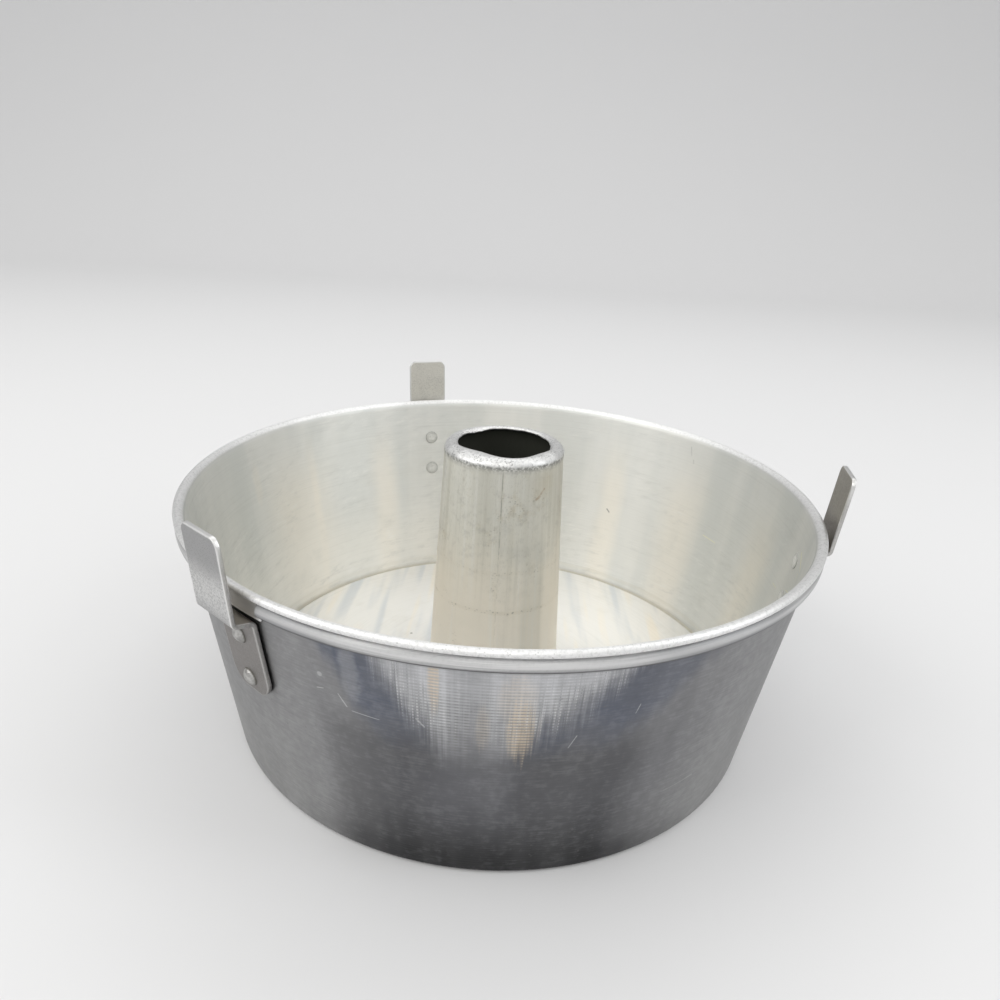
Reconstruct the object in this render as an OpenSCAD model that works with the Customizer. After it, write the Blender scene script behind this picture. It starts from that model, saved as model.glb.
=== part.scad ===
// Two-piece angel food cake pan: a drawn ring with three cooling feet riveted
// to its wall, and a loose base disc that carries the centre tube.
// Origin at the centre of the ring that the pan stands on, +Z up.

/* [Pan ring] */
// Height of the pan from the table to the crown of the rim
pan_h = 100.5; // [80:0.5:125]
// Outside radius of the wall, carried straight down to the table
base_r = 113.3; // [95:0.1:130]
// Lean of the wall outwards, in degrees from upright
wall_lean = 8.4; // [4:0.1:12]
// Thickness of the ring's sheet
sheet_t = 1; // [0.8:0.1:1.3]
// Bend radius where the wall turns in to the standing ring
corner_r = 2.5; // [1.5:0.1:4]
// Width of the flat ring that stands on the table
stand_w = 3; // [2:0.5:6]
// Height of the raised seat that the base disc lies on
seat_h = 3.3; // [2.6:0.1:5]
// Width of that seat
seat_w = 6; // [4:0.5:10]
// Slope of the step between standing ring and seat, in degrees
step_slope = 45; // [30:1:60]
// Bend radius at both ends of the step
step_r = 1.5; // [0.8:0.1:1.6]

/* [Rim] */
// Bend radius where the wall flares out to the rim
flare_r = 3.2; // [2.5:0.1:5]
// Upward slope that the flare ends on, in degrees
flare_rise = 12; // [5:1:20]
// Outside radius of the folded outer edge
fold_r = 1.25; // [1:0.05:1.5]
// Inward run of the sheet under its folded outer edge
tuck_l = 0.3; // [0.1:0.1:0.8]
// Bend radius of the groove below the folded edge
groove_r = 0.9; // [0.6:0.05:1]
// Bend radius of the rolled bead below the groove
bead_r = 2.3; // [1.5:0.1:2.4]
// Outward slope of the sheet where it leaves the groove, in degrees
bead_slope = 30; // [20:1:40]
// Space between the bead's inner edge and the wall
bead_gap = 0.4; // [0.3:0.1:0.8]
// Half width of the stretch that is pressed flat over each foot
press_half_w = 14.5; // [12:0.5:20]
// Depth of that pressed stretch, below the groove
press_l = 7; // [4:0.1:7.5]

/* [Feet] */
// Direction of the rear foot from the +X axis, in degrees
rear_foot_turn = 110; // [0:1:359]
// Width of a foot's strip
foot_w = 20.5; // [14:0.5:26]
// Thickness of a foot's strip
foot_t = 1.6; // [1.2:0.1:2]
// Height of a foot's lower end
foot_bottom = 56.3; // [50:0.1:58]
// Height at which a foot's lower leg starts to bend outwards
foot_bend_h = 86.3; // [84:0.1:86.6]
// Height of a foot's tip, which the turned-over pan stands on
foot_top = 121.4; // [112:0.1:140]
// Length of the sloping shelf between a foot's two legs
shelf_l = 4.1; // [3.6:0.1:6]
// Upward slope of that shelf, in degrees
shelf_rise = 12; // [0:1:14]
// Lean of the upper leg outwards, in degrees
upper_lean = 5; // [2:0.5:10]
// Bend radius at both ends of the shelf
foot_bend_r = 2; // [1.6:0.1:2.4]
// Corner radius at a foot's tip
tip_corner_r = 3.6; // [2:0.1:6]
// Corner radius at a foot's lower end
low_corner_r = 7.5; // [4:0.1:9]
// Space between a foot's flat lower leg and the wall
foot_gap = 0.1; // [0.05:0.05:0.2]

/* [Rivets] */
// Height of the upper rivet of each foot
rivet_high = 79.9; // [76:0.1:81]
// Height of the lower rivet of each foot
rivet_low = 62.2; // [61:0.1:66]
// Radius of a rivet's shank
shank_r = 2; // [1.5:0.1:2.5]
// Radius of a rivet's domed head, outside the pan
head_r = 3.5; // [3:0.1:4.5]
// Height of that head
head_h = 1.9; // [1.2:0.1:2.4]
// Radius of a rivet's flattened tail, inside the pan
tail_r = 3.4; // [3:0.1:4]
// Thickness of that tail
tail_t = 0.45; // [0.3:0.05:0.8]
// Clearance of a shank in its holes, and of a tail on the curved wall
rivet_gap = 0.08; // [0.06:0.01:0.12]

/* [Base disc] */
// Thickness of the disc
disc_t = 1; // [0.8:0.1:1.5]
// Crevice between the disc's edge and the wall
disc_edge_gap = 1.4; // [0.6:0.1:2.5]
// Space between the resting disc and its seat
seat_gap = 0.2; // [0.1:0.05:0.3]

/* [Centre tube] */
// Outside radius of the tube at the base disc
tube_foot_r = 30.2; // [24:0.1:36]
// Outside radius of the tube just below its rolled top
tube_neck_r = 25.2; // [20:0.1:32]
// Height of the tube's rolled top
tube_top = 117.5; // [104:0.1:120]
// Thickness of the tube's sheet
tube_t = 1; // [0.8:0.1:1.3]
// Bend radius of the inward roll at the tube's top
roll_r = 2.7; // [2:0.1:3.2]
// Turn of that roll, in degrees
roll_turn = 130; // [100:5:220]
// Width of the flange that clinches the tube under the disc
flange_w = 3.8; // [3:0.1:6]
// Height of the tube's upright collar above the disc
collar_h = 0.6; // [0.4:0.1:3]
// Bend radius between flange and collar
clinch_r = 1; // [0.8:0.1:1.2]
// Clearance between the tube and its hole in the disc
tube_gap = 0.05; // [0.03:0.01:0.1]

/* [Hidden] */
$fn = 144;

// The three feet stand a third of a turn apart
foot_step = 120;
left_foot_turn = rear_foot_turn + foot_step;
right_foot_turn = rear_foot_turn + 2 * foot_step;

// Heading of the wall above the horizontal
wall_heading = 90 - wall_lean;
// Outside radius of the wall at height z, and the level width of its sheet
function wall_r(z) = base_r + z * tan(wall_lean);
sheet_across = sheet_t / cos(wall_lean);

// Travel of a run of sheet that bends from heading a to heading b at radius r
function bend_x(a, b, r) = r * abs(sin(b) - sin(a));
function bend_z(a, b, r) = r * abs(cos(b) - cos(a));

// Turn between two points of a bend, in degrees
arc_step = 7.5;
// Depth to which the bead's sheet starts inside the fold
fold_bury = 0.1;

// Start of the corner bend, and of the ring and step inside it
corner_x = wall_r(corner_end_z()) - sheet_across / 2 - bend_x(0, wall_heading, corner_r);
function corner_end_z() = sheet_t / 2 + bend_z(0, wall_heading, corner_r);
step_fall = seat_h - sheet_t;
step_l = (step_fall - 2 * bend_z(0, step_slope, step_r)) / sin(step_slope);
step_w = 2 * bend_x(0, step_slope, step_r) + step_l * cos(step_slope);
seat_x = corner_x - stand_w - step_w - seat_w;

// Length of the straight wall, from the corner bend to the flare
flare_end_z = pan_h - sheet_t / 2 - (fold_r - sheet_t / 2) * (1 - cos(flare_rise));
flare_start_z = flare_end_z - bend_z(wall_heading, flare_rise, flare_r);
wall_l = (flare_start_z - corner_end_z()) / cos(wall_lean);
// Where the flare ends, the centre of the fold, and where the sheet tucks in under it
flare_end_x = wall_r(flare_start_z) - sheet_across / 2
  + bend_x(wall_heading, flare_rise, flare_r);
tuck_x = flare_end_x + (fold_r - sheet_t / 2) * sin(flare_rise);
fold_z = flare_end_z - (fold_r - sheet_t / 2) * cos(flare_rise);
tuck_z = fold_z - fold_r + sheet_t / 2;
// Inward end of the bead, so that it stops short of the wall
bead_end_x = tuck_x - tuck_l - (groove_r + bead_r) * sin(bead_slope);
bead_end_z = tuck_z + fold_bury - (groove_r + bead_r) * (1 + cos(bead_slope));
bead_tail_l = bead_end_x - bead_gap - wall_r(bead_end_z);
// Half angle of a pressed stretch
press_half_turn = press_half_w / (tuck_x + fold_r) * 180 / PI;

// Foot: heading of the upper leg, and where each stretch starts
upper_heading = 90 - upper_lean;
foot_start_x = wall_r(foot_bottom) + (foot_gap + foot_t / 2) / cos(wall_lean);
low_leg_l = (foot_bend_h - foot_bottom) / cos(wall_lean);
shelf_start_z = foot_bend_h + bend_z(wall_heading, shelf_rise, foot_bend_r);
upper_start_z = shelf_start_z + shelf_l * sin(shelf_rise)
  + bend_z(shelf_rise, upper_heading, foot_bend_r);
upper_leg_l = (foot_top - upper_start_z) / cos(upper_lean) + foot_t;

// Rivet: the sphere that its domed head is cut from
dome_r = (pow(head_r, 2) + pow(head_h, 2)) / (2 * head_h);

// Base disc: its height at rest, and its edge
disc_z = seat_h + seat_gap;
disc_r = wall_r(disc_z) - sheet_across - disc_edge_gap;
floor_z = disc_z + disc_t;

// Tube: lean of its taper, and the lengths of its stretches
tube_hole_r = tube_foot_r + tube_gap;
collar_x = tube_foot_r - tube_t / 2;
flange_z = disc_z - tube_t / 2;
collar_top = floor_z + collar_h;
roll_z = tube_top - tube_t / 2 - roll_r;
collar_bend_r = 6;
tube_lean = atan((tube_foot_r - tube_neck_r) / (roll_z - collar_top));
tube_l = (roll_z - collar_top) / cos(tube_lean);
collar_l = collar_top - flange_z - clinch_r;

// Steel-grey tones of the bare metal
pan_tone = [0.74, 0.74, 0.73];
tube_tone = [0.70, 0.69, 0.65];
foot_tone = [0.63, 0.63, 0.63];
rivet_tone = [0.80, 0.80, 0.79];

// Unit vector square to heading h, on its left
function left_of(h) = [-sin(h), cos(h)];

// Points along one side of a bent sheet of thickness t, side 1 being the left.
// Each run is [straight length, turn of the bend after it, bend radius], and a
// turn to the left is positive. The sheet's middle starts at p with heading h.
function sheet_side(t, runs, side, p, h, i = 0) =
  i == len(runs) ? [] :
  let (
    length = runs[i][0],
    turn = runs[i][1],
    r = runs[i][2],
    hand = sign(turn),
    q = p + length * [cos(h), sin(h)],
    middle = q + hand * r * left_of(h),
    steps = ceil(abs(turn) / arc_step),
    start = i == 0 ? [p + side * t / 2 * left_of(h)] : [],
    corner = length > 0 ? [q + side * t / 2 * left_of(h)] : [],
    bend = turn == 0 ? [] :
      [for (k = [1 : steps])
        middle - hand * (r - hand * side * t / 2) * left_of(h + turn * k / steps)]
  )
  concat(start, corner, bend,
    sheet_side(t, runs, side, middle - hand * r * left_of(h + turn), h + turn, i + 1));

function reversed(list) = [for (i = [len(list) - 1 : -1 : 0]) list[i]];

// Outline of a bent sheet from one end to the other
module bent_sheet(t, runs, p, h) {
  polygon(concat(sheet_side(t, runs, 1, p, h), reversed(sheet_side(t, runs, -1, p, h))));
}

// Section of the ring from its seat up to the folded edge of the rim. The fold
// is closed: its outside turns round a centre below the end of the flare.
module ring_section() {
  runs = [
    [seat_w, -step_slope, step_r],
    [step_l, step_slope, step_r],
    [stand_w, wall_heading, corner_r],
    [wall_l, -(wall_heading - flare_rise), flare_r]
  ];
  start = [seat_x, seat_h - sheet_t / 2];
  inside = sheet_side(sheet_t, runs, 1, start, 0);
  outside = reversed(sheet_side(sheet_t, runs, -1, start, 0));
  fold_steps = ceil((180 + flare_rise) / arc_step);
  fold = [for (k = [1 : fold_steps])
    [tuck_x, fold_z] + fold_r * left_of(flare_rise - (180 + flare_rise) * k / fold_steps)];
  polygon(concat(inside, fold, [[tuck_x - tuck_l, fold_z - fold_r]],
    [for (p = outside) if (p[0] < tuck_x - tuck_l) p]));
}

// Section of the rolled bead that hangs below the fold, and starts inside it
module bead_section() {
  bent_sheet(sheet_t, [
    [tuck_l, 180 - bead_slope, groove_r],
    [0, -(180 - bead_slope), bead_r],
    [bead_tail_l, 0, 0]
  ], [tuck_x, tuck_z + fold_bury], 180);
}

// Section of the same edge where it is pressed flat over a foot
module pressed_section() {
  bent_sheet(sheet_t, [
    [tuck_l, wall_heading, groove_r],
    [press_l, 0, 0]
  ], [tuck_x, tuck_z + fold_bury], 180);
}

// Everything that belongs to one foot is drawn along +X and turned there
module at_rivet(z) {
  translate([wall_r(z), 0, z]) rotate([0, 90 + wall_lean, 0]) children();
}

module rivet_hole(z) {
  at_rivet(z) cylinder(r = shank_r + rivet_gap, h = 8 * sheet_t, center = true);
}

// The drawn ring: seat, standing ring, wall and folded, rolled rim
module pan_shell() {
  color(pan_tone)
    difference() {
      union() {
        rotate_extrude() ring_section();
        for (i = [0 : 2])
          rotate([0, 0, rear_foot_turn + i * foot_step]) {
            rotate([0, 0, -press_half_turn])
              rotate_extrude(angle = 2 * press_half_turn) pressed_section();
            rotate([0, 0, press_half_turn])
              rotate_extrude(angle = foot_step - 2 * press_half_turn) bead_section();
          }
      }
      for (i = [0 : 2])
        rotate([0, 0, rear_foot_turn + i * foot_step]) {
          rivet_hole(rivet_high);
          rivet_hole(rivet_low);
        }
    }
}

// The loose disc that lies on the seat, with the hole that the tube grips
module base_disc() {
  relief = clinch_r - tube_t / 2 + tube_gap;
  color(pan_tone)
    rotate_extrude()
      polygon([
        [tube_hole_r + relief, disc_z],
        [disc_r, disc_z],
        [disc_r, floor_z],
        [tube_hole_r, floor_z],
        [tube_hole_r, disc_z + relief]
      ]);
}

// The tapered tube: flange under the disc, collar, taper and rolled top
module center_tube() {
  color(tube_tone)
    rotate_extrude()
      bent_sheet(tube_t, [
        [flange_w, -90, clinch_r],
        [collar_l, tube_lean, collar_bend_r],
        [tube_l, roll_turn, roll_r]
      ], [collar_x + clinch_r + flange_w, flange_z], 180);
}

// Outline of a foot seen from outside: a strip with rounded corners
module foot_outline() {
  module corner(z, side, r) translate([side * (foot_w / 2 - r), z]) circle(r = r);
  tip_z = foot_top - tip_corner_r;
  low_z = foot_bottom + low_corner_r;
  for (side = [-1, 1]) {
    corner(tip_z, side, tip_corner_r);
    corner(low_z, side, low_corner_r);
  }
  translate([-foot_w / 2, low_z]) square([foot_w, tip_z - low_z]);
  translate([tip_corner_r - foot_w / 2, tip_z])
    square([foot_w - 2 * tip_corner_r, tip_corner_r]);
  translate([low_corner_r - foot_w / 2, foot_bottom])
    square([foot_w - 2 * low_corner_r, low_corner_r]);
}

// Side view of a foot: lower leg, shelf and upper leg of one bent strip
module foot_side() {
  bent_sheet(foot_t, [
    [low_leg_l + foot_t, -(wall_heading - shelf_rise), foot_bend_r],
    [shelf_l, upper_heading - shelf_rise, foot_bend_r],
    [upper_leg_l, 0, 0]
  ], [foot_start_x, foot_bottom] - foot_t * [cos(wall_heading), sin(wall_heading)], wall_heading);
}

module foot(turn) {
  color(foot_tone)
    rotate([0, 0, turn])
      difference() {
        intersection() {
          rotate([90, 0, 0])
            linear_extrude(height = foot_w + 2, center = true) foot_side();
          translate([base_r, 0, 0])
            rotate([90, 0, 90])
              linear_extrude(height = foot_top) foot_outline();
        }
        rivet_hole(rivet_high);
        rivet_hole(rivet_low);
      }
}

// A rivet along its own axis, with the wall's outer face at the origin
module rivet_shape() {
  tail_z = -sheet_t - rivet_gap;
  head_z = foot_gap + foot_t;
  translate([0, 0, tail_z - tail_t]) cylinder(r = tail_r, h = tail_t);
  translate([0, 0, tail_z - tail_t / 2])
    cylinder(r = shank_r, h = head_z + head_h / 2 - tail_z + tail_t / 2);
  intersection() {
    translate([0, 0, head_z + head_h - dome_r]) sphere(r = dome_r);
    translate([0, 0, head_z]) cylinder(r = 2 * head_r, h = 2 * head_h);
  }
}

module rivet(turn, z) {
  color(rivet_tone)
    rotate([0, 0, turn])
      at_rivet(z) rivet_shape();
}

pan_shell();
base_disc();
center_tube();
foot(rear_foot_turn);  // foot_rear
foot(left_foot_turn);  // foot_left
foot(right_foot_turn);  // foot_right
rivet(rear_foot_turn, rivet_high);  // rivet_rear_high
rivet(rear_foot_turn, rivet_low);  // rivet_rear_low
rivet(left_foot_turn, rivet_high);  // rivet_left_high
rivet(left_foot_turn, rivet_low);  // rivet_left_low
rivet(right_foot_turn, rivet_high);  // rivet_right_high
rivet(right_foot_turn, rivet_low);  // rivet_right_low
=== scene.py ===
"""Looks of an angel food cake pan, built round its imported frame.

The ring, the base disc, the centre tube, the cooling feet and the rivets are
surfaces worked out with numpy at the sizes of the solids that they replace, and
are dressed as bare aluminium that has seen many years of baking.
"""
import logging
import math
from dataclasses import dataclass, field
from enum import Enum
from typing import Any, Dict, Optional, Sequence, Tuple, Union

import bpy
import numpy as np
from mathutils import Matrix, Vector


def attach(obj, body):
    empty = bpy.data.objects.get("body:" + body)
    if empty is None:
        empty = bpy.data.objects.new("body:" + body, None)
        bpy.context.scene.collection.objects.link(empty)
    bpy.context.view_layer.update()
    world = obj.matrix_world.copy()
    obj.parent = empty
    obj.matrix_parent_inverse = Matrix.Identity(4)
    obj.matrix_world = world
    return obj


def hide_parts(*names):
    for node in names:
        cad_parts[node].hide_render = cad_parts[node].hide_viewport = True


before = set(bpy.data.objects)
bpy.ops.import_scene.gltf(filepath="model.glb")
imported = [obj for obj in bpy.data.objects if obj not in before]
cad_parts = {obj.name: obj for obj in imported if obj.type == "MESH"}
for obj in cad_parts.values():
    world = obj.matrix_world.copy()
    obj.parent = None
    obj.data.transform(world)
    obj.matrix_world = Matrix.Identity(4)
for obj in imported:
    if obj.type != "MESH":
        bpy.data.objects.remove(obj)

LOG = logging.getLogger("cake_pan")
MM = 0.001
DEGREES = 180 / math.pi
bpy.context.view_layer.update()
# The wall that the ring, the feet and the rivets share: its outside radius at the
# table, in mm, and how far it leans outwards, in degrees
BASE_R = 113.3
WALL_LEAN = 8.4

Colour = Tuple[float, float, float]
Point = Tuple[float, float, float]


class Body(Enum):
    """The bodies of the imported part."""

    RING = "ring"
    INSERT = "insert"


class Slot(Enum):
    """The material slots of the record."""

    PAN = "pan_aluminium"
    DISC = "disc_aluminium"
    TUBE = "tube_aluminium"
    FOOT = "foot_aluminium"
    RIVET = "rivet_aluminium"


# Outlines of bent sheet, in millimetres


def left_of(heading: Union[float, np.ndarray]) -> np.ndarray:
    """Unit vectors square to a heading in degrees, on its left: (-sin h, cos h)."""
    turn = np.radians(np.asarray(heading, float))
    return np.stack([-np.sin(turn), np.cos(turn)], axis=-1)


def ahead_of(heading: Union[float, np.ndarray]) -> np.ndarray:
    """Unit vectors along a heading in degrees: (cos h, sin h)."""
    turn = np.radians(np.asarray(heading, float))
    return np.stack([np.cos(turn), np.sin(turn)], axis=-1)


def round_points(centre: np.ndarray, radius: float, angles: np.ndarray) -> np.ndarray:
    """Points on a circle: centre + radius (cos a, sin a), a in degrees."""
    return centre + radius * ahead_of(angles)


def half_round(centre: np.ndarray, arm: np.ndarray, hand: float = 1.0) -> np.ndarray:
    """Six points on the half circle from centre + arm to centre - arm.

    They are centre + arm cos a + hand side sin a for a between 0 and 180 degrees,
    where side is the arm turned a quarter to the right.
    """
    side = hand * np.stack([arm[..., 1], -arm[..., 0]], axis=-1)
    turn = np.radians(np.linspace(0, 180, 8)[1:-1]).reshape(-1, *[1] * arm.ndim)
    return centre + np.cos(turn) * arm + np.sin(turn) * side


def first_rows(parts: Sequence[np.ndarray]) -> np.ndarray:
    """Rows at which parts start once they are joined, and the row after the last."""
    return np.cumsum([0] + [len(part) for part in parts])


def all_round(part: np.ndarray, count: int) -> np.ndarray:
    """A part of an outline, the same at each of count directions."""
    return np.repeat(part[:, None], count, axis=1)


@dataclass(frozen=True)
class Run:
    """A straight length of sheet and the bend after it.

    A turn to the left is positive, and the radius is that of the sheet's middle.
    """

    length: float
    turn: float = 0.0
    radius: float = 0.0


@dataclass(frozen=True)
class SheetLine:
    """Middle line of a bent sheet, with the unit vector on its left at each point."""

    points: np.ndarray
    lefts: np.ndarray

    def side(self, offset: float) -> np.ndarray:
        """The line moved to its left by offset: p + offset * left."""
        return self.points + offset * self.lefts

    def outline(self, thickness: float) -> np.ndarray:
        """Closed outline of the sheet with half-round ends.

        The left side runs forward and the right side back.

        Args:
            thickness: thickness of the sheet.

        Returns:
            The outline's points, without a repeated last one.
        """
        half = thickness / 2
        end = half_round(self.points[-1], half * self.lefts[-1])
        start = half_round(self.points[0], -half * self.lefts[0])
        return np.concatenate([self.side(half), end, self.side(-half)[::-1], start])


def trace(start: Sequence[float], heading: float, runs: Sequence[Run],
          step: float = 3.0, bend_step: float = 7.5) -> SheetLine:
    """Follows runs of sheet from a start point.

    A straight is p + s (cos h, sin h). A bend to the left about the centre
    c = p + r left(h) is c - r left(h + a), and to the right c + r left(h - a).

    Args:
        start: first point of the middle line.
        heading: first heading, in degrees above +X.
        runs: straight lengths and bends, in order.
        step: longest piece of a straight.
        bend_step: largest turn between two points of a bend, in degrees.

    Returns:
        The sheet's middle line.
    """
    place = np.asarray(start, float)
    points, headings = [place[None]], [np.array([heading])]
    for run in runs:
        if run.length > 0:
            count = max(1, math.ceil(run.length / step))
            along = np.linspace(0, run.length, count + 1)[1:, None]
            points.append(place + along * ahead_of(heading))
            headings.append(np.full(count, heading))
            place = points[-1][-1]
        if run.turn:
            hand = math.copysign(1, run.turn)
            count = max(1, math.ceil(abs(run.turn) / bend_step))
            turned = heading + np.linspace(0, run.turn, count + 1)[1:]
            centre = place + hand * run.radius * left_of(heading)
            points.append(centre - hand * run.radius * left_of(turned))
            headings.append(turned)
            place, heading = points[-1][-1], heading + run.turn
    return SheetLine(np.concatenate(points), left_of(np.concatenate(headings)))


def ease(values: np.ndarray, low: float, high: float) -> np.ndarray:
    """Smooth step from 0 at low to 1 at high: t t (3 - 2 t)."""
    share = np.clip((values - low) / (high - low), 0, 1)
    return share * share * (3 - 2 * share)


def turn_gap(angles: np.ndarray, middle: float) -> np.ndarray:
    """Signed difference of angles from a middle, in degrees between -180 and 180."""
    return (angles - middle + 180) % 360 - 180


def angles_round(count: int, fine_at: Sequence[float] = (), reach: float = 1.0,
                 fine_count: int = 13) -> np.ndarray:
    """Angles of a full turn, in degrees, with closer ones about some directions.

    Args:
        count: number of evenly spread angles.
        fine_at: directions that get closer angles.
        reach: how far the closer angles go to each side.
        fine_count: number of closer angles at each direction.

    Returns:
        Sorted angles from 0 up to, but without, 360.
    """
    even = np.arange(count) * 360 / count
    close = [(at + np.linspace(-reach, reach, fine_count)) % 360 for at in fine_at]
    return np.unique(np.round(np.concatenate([even, *close]), 4))


# Meshes


@dataclass
class Patch:
    """A grid of points, (rows, columns, 3) in millimetres, and its point attributes."""

    points: np.ndarray
    close_rows: bool = False
    close_columns: bool = False
    marks: Dict[str, np.ndarray] = field(default_factory=dict)

    def quads(self) -> np.ndarray:
        """Corner numbers of the grid's faces: (i, j), (i, j+1), (i+1, j+1), (i+1, j)."""
        rows, columns = self.points.shape[:2]
        number = np.arange(rows * columns).reshape(rows, columns)
        if self.close_rows:
            number = np.concatenate([number, number[:1]])
        if self.close_columns:
            number = np.concatenate([number, number[:, :1]], axis=1)
        corners = [number[:-1, :-1], number[:-1, 1:], number[1:, 1:], number[1:, :-1]]
        return np.stack(corners, axis=-1).reshape(-1, 4)


def facing_out(outline: np.ndarray) -> np.ndarray:
    """The outline in the order in which a revolved patch faces outwards.

    The order is right where the area sum of r dz - z dr is positive.
    """
    r, z = outline[:, 0], outline[:, 1]
    area = np.sum(r * np.roll(z, -1) - np.roll(r, -1) * z)
    return outline if area > 0 else outline[::-1]


def revolved(r: np.ndarray, z: np.ndarray, angles: np.ndarray) -> np.ndarray:
    """Points (r cos a, r sin a, z) of outlines r, z, one column for each angle."""
    turn = np.radians(angles)[None]
    r, z = np.broadcast_arrays(r, z)
    if r.ndim == 1:
        r, z = r[:, None], z[:, None]
    return np.stack([r * np.cos(turn), r * np.sin(turn), z + 0 * turn], axis=-1)


def run_along(r: np.ndarray, z: np.ndarray) -> np.ndarray:
    """Distance along an outline: the sum of its pieces' lengths."""
    steps = np.hypot(np.diff(r, axis=0), np.diff(z, axis=0))
    return np.concatenate([np.zeros((1, *r.shape[1:])), np.cumsum(steps, axis=0)])


def lay_mesh(name: str, patches: Sequence[Patch], crease: float = 38.0) -> bpy.types.Object:
    """Puts patches into one mesh, welded where points meet.

    Points that agree to a ten-thousandth of a millimetre become one, and faces
    that lose a corner by it become triangles.

    Args:
        name: name of the object.
        patches: grids of points in millimetres.
        crease: faces that meet at a larger angle, in degrees, keep a sharp edge.

    Returns:
        The object, at the origin.
    """
    grids = [p.points.reshape(-1, 3) for p in patches]
    points = np.concatenate(grids)
    quads = np.concatenate([p.quads() + row for p, row in zip(patches, first_rows(grids))])
    _, first, where = np.unique(np.round(points, 4), axis=0, return_index=True,
                                return_inverse=True)
    quads = where.reshape(-1)[quads]
    kept = quads != np.roll(quads, -1, axis=1)
    whole, three = quads[kept.all(axis=1)], kept.sum(axis=1) == 3
    triangles = quads[three][kept[three]].reshape(-1, 3)
    mesh = bpy.data.meshes.new(name)
    faces = whole.tolist() + triangles.tolist()
    mesh.from_pydata((points[first] * MM).tolist(), [], faces)
    for mark in sorted({m for p in patches for m in p.marks}):
        laid = [p.marks.get(mark, np.zeros(p.points.shape[:2])) for p in patches]
        values = np.concatenate([np.asarray(m, float).reshape(-1) for m in laid])[first]
        mesh.attributes.new(mark, "FLOAT", "POINT").data.foreach_set(
            "value", values.astype(np.float32))
    mesh.polygons.foreach_set("use_smooth", np.ones(len(mesh.polygons), bool))
    mesh.set_sharp_from_angle(angle=math.radians(crease))
    mesh.validate()
    mesh.update()
    piece = bpy.data.objects.new(name, mesh)
    bpy.context.scene.collection.objects.link(piece)
    LOG.info("%s: %d points, %d faces", name, len(mesh.vertices), len(mesh.polygons))
    return piece


# Shader maths


class Signal:
    """A socket's value. Python's operators on it add Math or Vector Math nodes."""

    def __init__(self, graph: "Graph", socket: bpy.types.NodeSocket) -> None:
        """Keeps the graph and the output socket."""
        self.graph = graph
        self.socket = socket

    @property
    def is_vector(self) -> bool:
        """True for a vector socket."""
        return self.socket.type == "VECTOR"

    def __add__(self, other: "Value") -> "Signal":
        """Sum."""
        return self.graph.maths("ADD", self, other)

    def __radd__(self, other: "Value") -> "Signal":
        """Sum with the number first."""
        return self.graph.maths("ADD", other, self)

    def __sub__(self, other: "Value") -> "Signal":
        """Difference."""
        return self.graph.maths("SUBTRACT", self, other)

    def __rsub__(self, other: "Value") -> "Signal":
        """Difference with the number first."""
        return self.graph.maths("SUBTRACT", other, self)

    def __mul__(self, other: "Value") -> "Signal":
        """Product."""
        return self.graph.maths("MULTIPLY", self, other)

    def __rmul__(self, other: "Value") -> "Signal":
        """Product with the number first."""
        return self.graph.maths("MULTIPLY", other, self)

    def part(self, index: int) -> "Signal":
        """One component of a vector."""
        split = self.graph.node("ShaderNodeSeparateXYZ", inputs={0: self})
        return Signal(self.graph, split.outputs[index])


Value = Union[Signal, float, int, Sequence[float]]


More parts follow.
